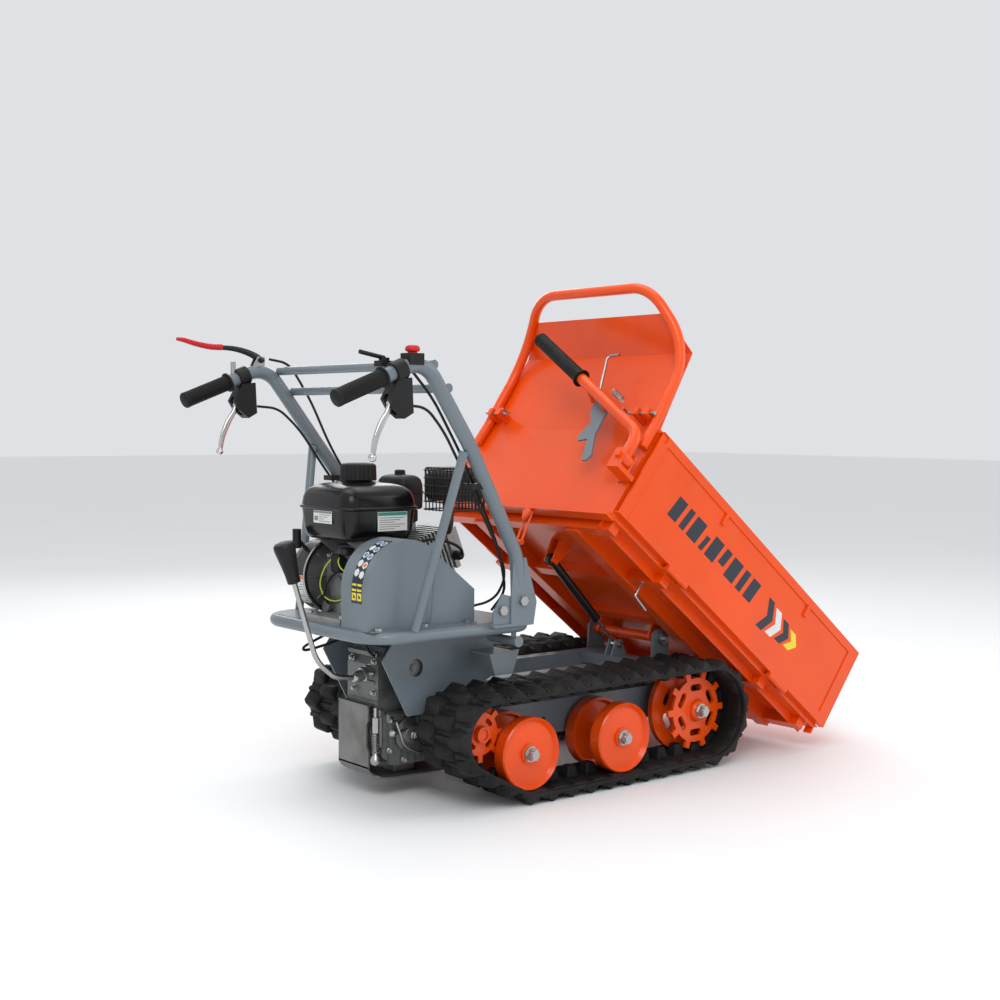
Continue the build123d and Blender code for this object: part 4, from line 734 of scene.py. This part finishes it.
# ---------------------------------------------------------------- muffler cage and air filter
def wire_cage():
    """Round-wire cage over the muffler: level hoops and upright hoops on three sides and the top."""
    x0, x1, y0, y1, z0, z1 = -345.0, -249.0, -185.0, -65.0, 652.0, 747.0
    shape = Shape()
    for i in range(6):
        z = z0 + (z1 - 6 - z0) * i / 5
        ring = rounded_ring(x0, x1, y0, y1, z, 12, 0, 4)
        shape.tube(ring + ring[:1], 1.6, 8)
    for i in range(10):
        x = x0 + 8 + (x1 - x0 - 16) * i / 9
        corners = [pt(x, y0 + 1.5, z0 - 3), pt(x, y0 + 1.5, z1), pt(x, y1 - 1.5, z1), pt(x, y1 - 1.5, z0 + 20)]
        shape.tube(rounded(corners, 0.008, 4), 1.5, 8)
    for i in range(8):
        y = y0 + 14 + (y1 - y0 - 28) * i / 7
        near, far = x0 + 1.5, x1 - 1.5
        corners = [pt(near, y, z0 - 3), pt(near, y, z1 - 1), pt(far, y, z1 - 1), pt(far, y, z0 - 3)]
        shape.tube(rounded(corners, 0.008, 4), 1.5, 8)
    shape.piece("muffler_wire_cage", "chassis", finishes["black_paint"], 40, ["muffler_guard"])


def filter_case():
    """Moulded air filter case: body, parting line, domed lid, duct and a fluted nut."""
    shape = Shape()
    levels = [(645, 8), (646.5, 3), (650, 1), (683, 0.2), (684, -1.6), (687, -1.6), (688, 0.4), (704, 1.2),
              (714, 4), (720, 8.5), (724, 15), (725.8, 24)]
    shape.rings([rounded_ring(-350.4, -277.6, 9.6, 122.4, z, 20, inset) for z, inset in levels])
    shape.block(pt(-315, 58, 630), X, Y, Z, (26, 35, 17), 5)

    def flute(k, along):
        return 0.93 if k % 4 < 2 and 3 < along < 11 else 1.0

    low = pt(-314, 66, 724)
    shape.lathe(low, low + Z, [(0, 15), (2, 15), (3, 13), (11, 12.6), (13, 10), (13.8, 4)], 40, flute)
    for y in (30, 102):
        shape.block(pt(-351.2, y, 684), Y, X, Z, (7, 1.6, 9), 1)
    shape.piece("air_filter_case", "chassis", finishes["black_plastic"], 30, ["air_filter"])


wire_cage()
filter_case()


# ---------------------------------------------------------------- engine fittings
def engine_fittings():
    """Bolts, ribs, oil plug, starter band, ignition box, plug boot and wires round the crankcase."""
    metal = Shape()
    for y, z in ((-60, 424), (70, 424), (-60, 530), (66, 545), (8, 420)):
        metal.hexbolt(pt(-505, y, z), -X, 11)
    for x, y in ((-548, -56), (-548, 66), (-338, -56), (-338, 66)):
        metal.hexbolt(pt(x, y, DECK_TOP + 12), Z, 13)
    for x in (-462, -440, -418):
        metal.hexbolt(pt(x, -50, 574), -Y, 8)
    for a in range(0, 360, 60):
        turn = math.radians(a + 20)
        metal.hexbolt(pt(STARTER_X + 76 * math.cos(turn), 132, STARTER_Z + 76 * math.sin(turn)), Y, 8)
    band = []
    for a in range(0, 361, 6):
        turn = math.radians(a)
        band.append(pt(STARTER_X + 87.2 * math.cos(turn), 86, STARTER_Z + 87.2 * math.sin(turn)))
    metal.tube(band, 2.2, 8)
    metal.piece("engine_bolts", "chassis", finishes["zinc_steel"], 30)
    cast = Shape()
    for y in (-44, -20, 4):
        cast.block(pt(-506.5, y, 470), Z, Y, X, (46, 2.6, 3.4), 1.4)
    cast.block(pt(-507, -20, 522), Y, Z, X, (34, 3, 3), 1.2)
    cast.lathe(pt(-503, 46, 470), pt(-520, 46, 470), [(0, 34), (5, 34), (7, 31), (9, 22), (10, 20), (12, 12)], 40)
    cast.lathe(pt(-503, 66, 428), pt(-530, 66, 428), [(0, 12), (8, 12), (9, 15), (17, 15), (19, 12)], 12)
    back = [(0, 79), (3, 79), (4.5, 60), (5, 20)]
    cast.lathe(pt(STARTER_X, 84.5, STARTER_Z), pt(STARTER_X, 90, STARTER_Z), back, 64)
    for a in range(0, 360, 45):
        turn = math.radians(a)
        run = Vector((math.cos(turn), 0, math.sin(turn)))
        cast.block(pt(STARTER_X, 84, STARTER_Z) + run * 0.052, run, Y, run.cross(Y), (22, 2.4, 2.2), 1)
    cast.piece("crankcase_relief", "chassis", dark_casting, 30)
    dark = Shape()
    dark.block(pt(-517, 18, 530), Z, Y, X, (21, 17, 11), 4)
    dark.block(pt(-521, -26, 560), Y, X, Z, (14, 12, 9), 3)
    dark.lathe(pt(-237, -50, 540), pt(-237, -76, 540), [(0, 10), (3, 11.4), (16, 11), (22, 9.4), (26, 6)], 28)
    spark_lead = [(-237, -70, 540), (-243, -82, 553), (-270, -84, 570), (-320, -80, 582), (-365, -70, 576),
                  (-388, -58, 566)]
    dark.tube(through([pt(*place) for place in spark_lead]), 3.4, 10)
    coil_lead = [(-517, 18, 512), (-536, 24, 494), (-540, 40, 462), (-524, 52, 440), (-512, 56, 432)]
    dark.tube(through([pt(*place) for place in coil_lead]), 2.4, 8)
    dark.piece("ignition_parts", "chassis", finishes["black_plastic"], 35)
    wire = Shape()
    long_wire = [(-519, 28, 548), (-538, 40, 520), (-543, 52, 482), (-536, 40, 452), (-524, 12, 446),
                 (-514, -14, 458), (-509, -30, 474)]
    short_wire = [(-519, 6, 548), (-532, -6, 536), (-530, -18, 520), (-516, -30, 512), (-509, -40, 508)]
    for route in (long_wire, short_wire):
        wire.tube(through([pt(*place) for place in route]), 1.5, 8)
    wire.piece("earth_wires", "chassis", earth_wire, 40)


def shroud_label():
    """Generic printed plate wrapped on the starter shroud: orange header and grey bars."""
    shape = Shape()

    def patch(a0, a1, y0, y1, lift, mark):
        shape.mark = mark
        rings = []
        for k in range(9):
            a = math.radians(a0 + (a1 - a0) * k / 8)
            c, d = math.cos(a), math.sin(a)
            section = ((SHROUD_R, y0), (SHROUD_R + lift, y0), (SHROUD_R + lift, y1), (SHROUD_R, y1))
            rings.append([pt(STARTER_X + r * c, y, STARTER_Z + r * d) for r, y in section])
        shape.rings(rings)

    patch(178, 226, 93, 129, 0.35, 0)
    patch(178.5, 184, 94, 128, 0.55, 1)
    for i in range(9):
        a = 187 + i * 4.2
        patch(a, a + 1.5, 96, 124 - 9 * ((i * 5) % 3), 0.55, 2)
    shape.piece("shroud_plate", "chassis", [white_film, orange_film, grey_print], 20)


def cover_swage():
    """Shallow pressed crease down the belt cover's flat side."""
    shape = Shape()
    count = 12
    rings = []
    for z, share in ((408, 0.0), (416, 0.6), (430, 1.0), (560, 1.0), (576, 0.6), (586, 0.0)):
        ring = []
        for k in range(count + 1):
            x = -440 + 24 * k / count + (z - 408) * 0.10
            ring.append(pt(x, COVER_Y - 0.1 - 6.0 * share * math.sin(math.pi * k / count) ** 2, z))
        ring += [pt(-440 + 24 + (z - 408) * 0.10, COVER_Y + 0.6, z), pt(-440 + (z - 408) * 0.10, COVER_Y + 0.6, z)]
        rings.append(ring)
    shape.rings(rings)
    shape.piece("cover_crease", "chassis", finishes["grey_paint"], 50)


def starter_face():
    """Raised bars, hub ring and hub cap on the outside of the starter housing."""
    shape = Shape()
    for i in range(16):
        turn = 2 * math.pi * i / 16
        run = Vector((math.cos(turn), 0, math.sin(turn)))
        down = (run * 0.038 + Y * -0.0095).normalized()
        aside = run.cross(Y)
        middle = pt(STARTER_X, 161.4, STARTER_Z) + run * 0.060
        shape.block(middle, down, aside, down.cross(aside), (15, 3.2, 1.8), 1)
    ring = [(0, 36), (3.4, 36), (4.4, 34.6), (4.4, 25), (3.2, 24), (3.2, 6)]
    shape.lathe(pt(STARTER_X, 164, STARTER_Z), pt(STARTER_X, 170, STARTER_Z), ring, 48)
    cap = [(0, 16), (4, 16), (6, 13), (6.8, 6)]
    shape.lathe(pt(STARTER_X, 166, STARTER_Z), pt(STARTER_X, 174, STARTER_Z), cap, 32)
    shape.piece("starter_face_bars", "chassis", finishes["black_plastic"], 30)


engine_fittings()
starter_face()
shroud_label()
cover_swage()


# ---------------------------------------------------------------- gearbox fittings
def gearbox_plate():
    """Bent guard plate behind and under the gearbox, with a folded top edge and a notched side."""
    shape = Shape()
    outline = [(72, 213), (-48, 213), (-48, 176), (-42, 168), (-42, 118), (-50, 108), (-50, 66), (72, 66)]
    shape.slab(outline, lambda y, z, face: pt(-480 + 4 * face, y, z))
    shape.block(pt(-474, 12, 211), Y, X, Z, (60, 8, 2), 1)
    curve = [(-480, 68), (-474, 58), (-462, 49), (-444, 44), (-420, 43), (-270, 43)]
    for (xa, za), (xb, zb) in zip(curve, curve[1:]):
        wide = -72 if xa >= -462 else -50
        shape.rings([[pt(xa, 72, za), pt(xa, wide, za), pt(xa, wide, za + 4), pt(xa, 72, za + 4)],
                     [pt(xb, 72, zb), pt(xb, wide, zb), pt(xb, wide, zb + 4), pt(xb, 72, zb + 4)]])
    shape.block(pt(-370, 0, 60), X, Y, Z, (28, 36, 13), 2)
    shape.piece("folded_guard_plate", "chassis", finishes["bare_steel"], 30, ["gearbox_guard"])


def gearbox_fittings():
    """Linkage rod, clamp, spring, covers and bolts on the gearbox's rear and right side."""
    rods = Shape()
    rods.tube([pt(-467, -60, 86), pt(-467, -60, 208)], 4.4, 14)
    rods.lathe(pt(-467, -60, 150), pt(-467, -60, 186), [(0, 6), (1, 7.2), (35, 7.2), (36, 6)], 6)
    rods.lathe(pt(-467, -60, 76), pt(-467, -60, 104), [(0, 5), (4, 10), (12, 12.4), (20, 10), (28, 5)], 20)
    helix = [pt(-467 + 7.5 * math.cos(t * 0.7), -60 + 7.5 * math.sin(t * 0.7), 104 + t * 0.5) for t in range(90)]
    rods.tube(helix, 1.3, 6)
    clamp = [(0, 13.4), (1, 16.5), (8, 16.5), (9, 14), (13, 14), (14, 16), (20, 16), (21, 14), (25, 14), (26, 15.6),
             (33, 15.6)]
    rods.lathe(pt(-484, -30, 280.3), pt(-440, -30, 295), clamp, 28)
    rods.hexbolt(pt(-470, -46, 285), -Y, 9)
    for x, y, z in ((-462, 30, 240), (-462, -48, 240), (-462, 40, 310), (-462, -50, 310)):
        rods.hexbolt(pt(x, y, z), -X, 11)
    bent_link = [(-432, -92, 176), (-424, -96, 150), (-410, -94, 122), (-380, -92, 104), (-352, -84, 96)]
    rods.tube(through([pt(*place) for place in bent_link]), 2.6, 10)
    rods.tube([pt(-436, -84, 150), pt(-300, -84, 166)], 3.2, 12)
    rods.lathe(pt(-436, -78, 150), pt(-436, -94, 150), [(0, 8), (6, 10), (12, 8), (16, 4)], 20)
    rods.hexbolt(pt(-382, -90, 140), -Y, 13)
    for x, z in ((-440, 178), (-440, 110), (-400, 84), (-330, 84)):
        rods.hexbolt(pt(x, -76, z), -Y, 11)
    rods.hexbolt(pt(-455, -52, 104), -X, 12)
    rods.hexbolt(pt(-455, -58, 172), -X, 9)
    rods.piece("gearbox_linkage", "chassis", finishes["zinc_steel"], 30)
    cast = Shape()
    cast.lathe(pt(-450, -44, 138), pt(-472, -44, 138), [(0, 26), (6, 26), (8, 23), (10, 14), (18, 12), (19, 8)], 32)
    cast.block(pt(-456, -62, 152), Z, Y, X, (36, 8, 5), 3)
    cast.block(pt(-456, -36, 196), Y, Z, X, (34, 9, 7), 3)
    cover = [(0, 40), (8, 40), (10, 36), (14, 24), (20, 20), (22, 14)]
    cast.lathe(pt(-382, -68, 140), pt(-382, -90, 140), cover, 40)
    cast.block(pt(-415, -74, 186), X, Y, Z, (34, 8, 10), 4)
    cast.block(pt(-459, 0, 262), Y, Z, X, (50, 4, 7), 2)
    for z in (216, 326):
        cast.block(pt(-461, 0, z), Y, Z, X, (58, 6, 4), 2)
    cast.piece("gearbox_bosses", "chassis", dark_casting, 30)
    loop = Shape()
    wide_loop = [(-474, 26, 398), (-500, 24, 388), (-545, 26, 370), (-588, 30, 352), (-598, 34, 343),
                 (-588, 36, 338), (-545, 30, 346), (-500, 16, 360), (-466, 4, 366)]
    loop.tube(through([pt(*place) for place in wide_loop]), 3.2, 10)
    short_loop = [(-470, -44, 398), (-486, -46, 372), (-482, -50, 340), (-464, -52, 322)]
    loop.tube(through([pt(*place) for place in short_loop]), 3.0, 10)
    loop.piece("shift_cable_loops", "chassis", finishes["cable_jacket"], 40)


gearbox_plate()
gearbox_fittings()


# ---------------------------------------------------------------- dump handle fittings
def handle_fittings():
    """Bright reset rod and the small return spring beside the dump handle."""
    shape = Shape()
    shape.tube(rounded([bed_pt(-84, -150, 290), bed_pt(-72, -82, 420), bed_pt(-72, -122, 424)], 0.009, 8), 3.5, 12)
    start, stop = bed_pt(-84, -196, 296), bed_pt(-84, -244, 270)
    along = (stop - start).normalized()
    side = along.orthogonal().normalized()
    other = along.cross(side)
    coil = []
    for k in range(109):
        out = side * math.cos(k * 0.6) + other * math.sin(k * 0.6)
        coil.append(start + (stop - start) * (k / 108) + out * 0.0065)
    shape.tube(coil, 1.2, 6)
    shape.piece("reset_rod_and_spring", "dump_lever", finishes["zinc_steel"], 40)


handle_fittings()


# ---------------------------------------------------------------- bed prints
def bed_patch(shape, hand, outline, lift, mark):
    shape.mark = mark
    lower = [bed_pt(u, hand * (335 + 0.05), w) for u, w in outline]
    upper = [bed_pt(u, hand * (335 + lift), w) for u, w in outline]
    shape.rings([lower, upper] if hand < 0 else [upper, lower])


def bed_prints(hand):
    """Row of slanted dark bars and a plain banded flag on a side panel."""
    shape = Shape()
    u = 132.0
    bars = ((34, 14, 98, 158), (20, 12, 98, 158), (40, 14, 98, 158), (16, 12, 98, 140), (38, 14, 98, 158),
            (24, 12, 112, 158), (40, 14, 98, 158), (22, 14, 98, 158), (34, 0, 98, 158))
    for width, gap, low, high in bars:
        lean = 10.0
        bed_patch(shape, hand, [(u, low), (u + width, low), (u + width + lean, high), (u + lean, high)], 0.35, 0)
        u += width + gap
    for i in range(4):
        a = 560 + i * 40
        low, high = 70 + 6 * i, 154 - 6 * i
        outline = [(a, low), (a + 26, low), (a + 48, 112), (a + 26, high), (a, high), (a + 22, 112)]
        bed_patch(shape, hand, outline, 0.35, (0, 1, 0, 2)[i])
    side = "left" if hand > 0 else "right"
    shape.piece("panel_print_" + side, "side_gate_" + side, [ink, white_film, yellow_film], 20)


for hand in (-1, 1):
    bed_prints(hand)


# ---------------------------------------------------------------- camera, light and floor
yaw, pitch, roll = math.radians(-39.0), math.radians(-3.0), math.radians(0.4)
ahead = Vector((-math.sin(yaw) * math.cos(pitch), math.cos(yaw) * math.cos(pitch), math.sin(pitch)))
right = Vector((math.cos(yaw), math.sin(yaw), 0))
up = right.cross(ahead)
right, up = right * math.cos(roll) + up * math.sin(roll), up * math.cos(roll) - right * math.sin(roll)
camera_data = bpy.data.cameras.new("camera")
camera_data.lens = 53.35
camera_data.sensor_width = 36.0
camera_data.clip_end = 50
camera = bpy.data.objects.new("camera", camera_data)
bpy.context.scene.collection.objects.link(camera)
place = pt(-2328.6, -2797.6, 850.1)
camera.matrix_world = Matrix(((right.x, up.x, -ahead.x, place.x), (right.y, up.y, -ahead.y, place.y),
                              (right.z, up.z, -ahead.z, place.z), (0, 0, 0, 1)))
bpy.context.scene.camera = camera

floor_finish = Finish("pale_floor", (0.86, 0.86, 0.86), 0.65)
mottle = floor_finish.noise(1.5)
floor_finish.set("Base Color", floor_finish.blend(mottle, (0.85, 0.85, 0.85, 1), (0.88, 0.88, 0.88, 1)))
bpy.ops.mesh.primitive_plane_add(size=60, location=(0, 0, -0.0005))
floor = bpy.context.object
floor.name = "floor"
floor.data.materials.append(floor_finish.material)


def soft_light(name, place, aim, size, power):
    data = bpy.data.lights.new(name, "AREA")
    data.shape = "RECTANGLE"
    data.size, data.size_y = size
    data.energy = power
    lamp = bpy.data.objects.new(name, data)
    bpy.context.scene.collection.objects.link(lamp)
    lamp.location = place
    lamp.rotation_euler = (Vector(aim) - Vector(place)).to_track_quat("-Z", "Y").to_euler()


soft_light("key_light", (-2.6, -3.2, 3.6), (0, 0, 0.5), (2.4, 2.0), 85)
soft_light("side_light", (3.2, -3.0, 2.4), (0.2, 0, 0.5), (2.0, 2.0), 34)
soft_light("top_light", (0, 0.6, 4.2), (0, 0, 0.3), (3.6, 3.0), 55)
soft_light("back_light", (1.5, 3.6, 2.6), (0, 0, 0.6), (2.4, 1.6), 32)
world = bpy.data.worlds.new("studio")
bpy.context.scene.world = world
world.use_nodes = True
world.node_tree.nodes["Background"].inputs["Color"].default_value = (0.95, 0.97, 1.0, 1)
world.node_tree.nodes["Background"].inputs["Strength"].default_value = 0.78
bpy.context.scene.view_settings.view_transform = "Standard"
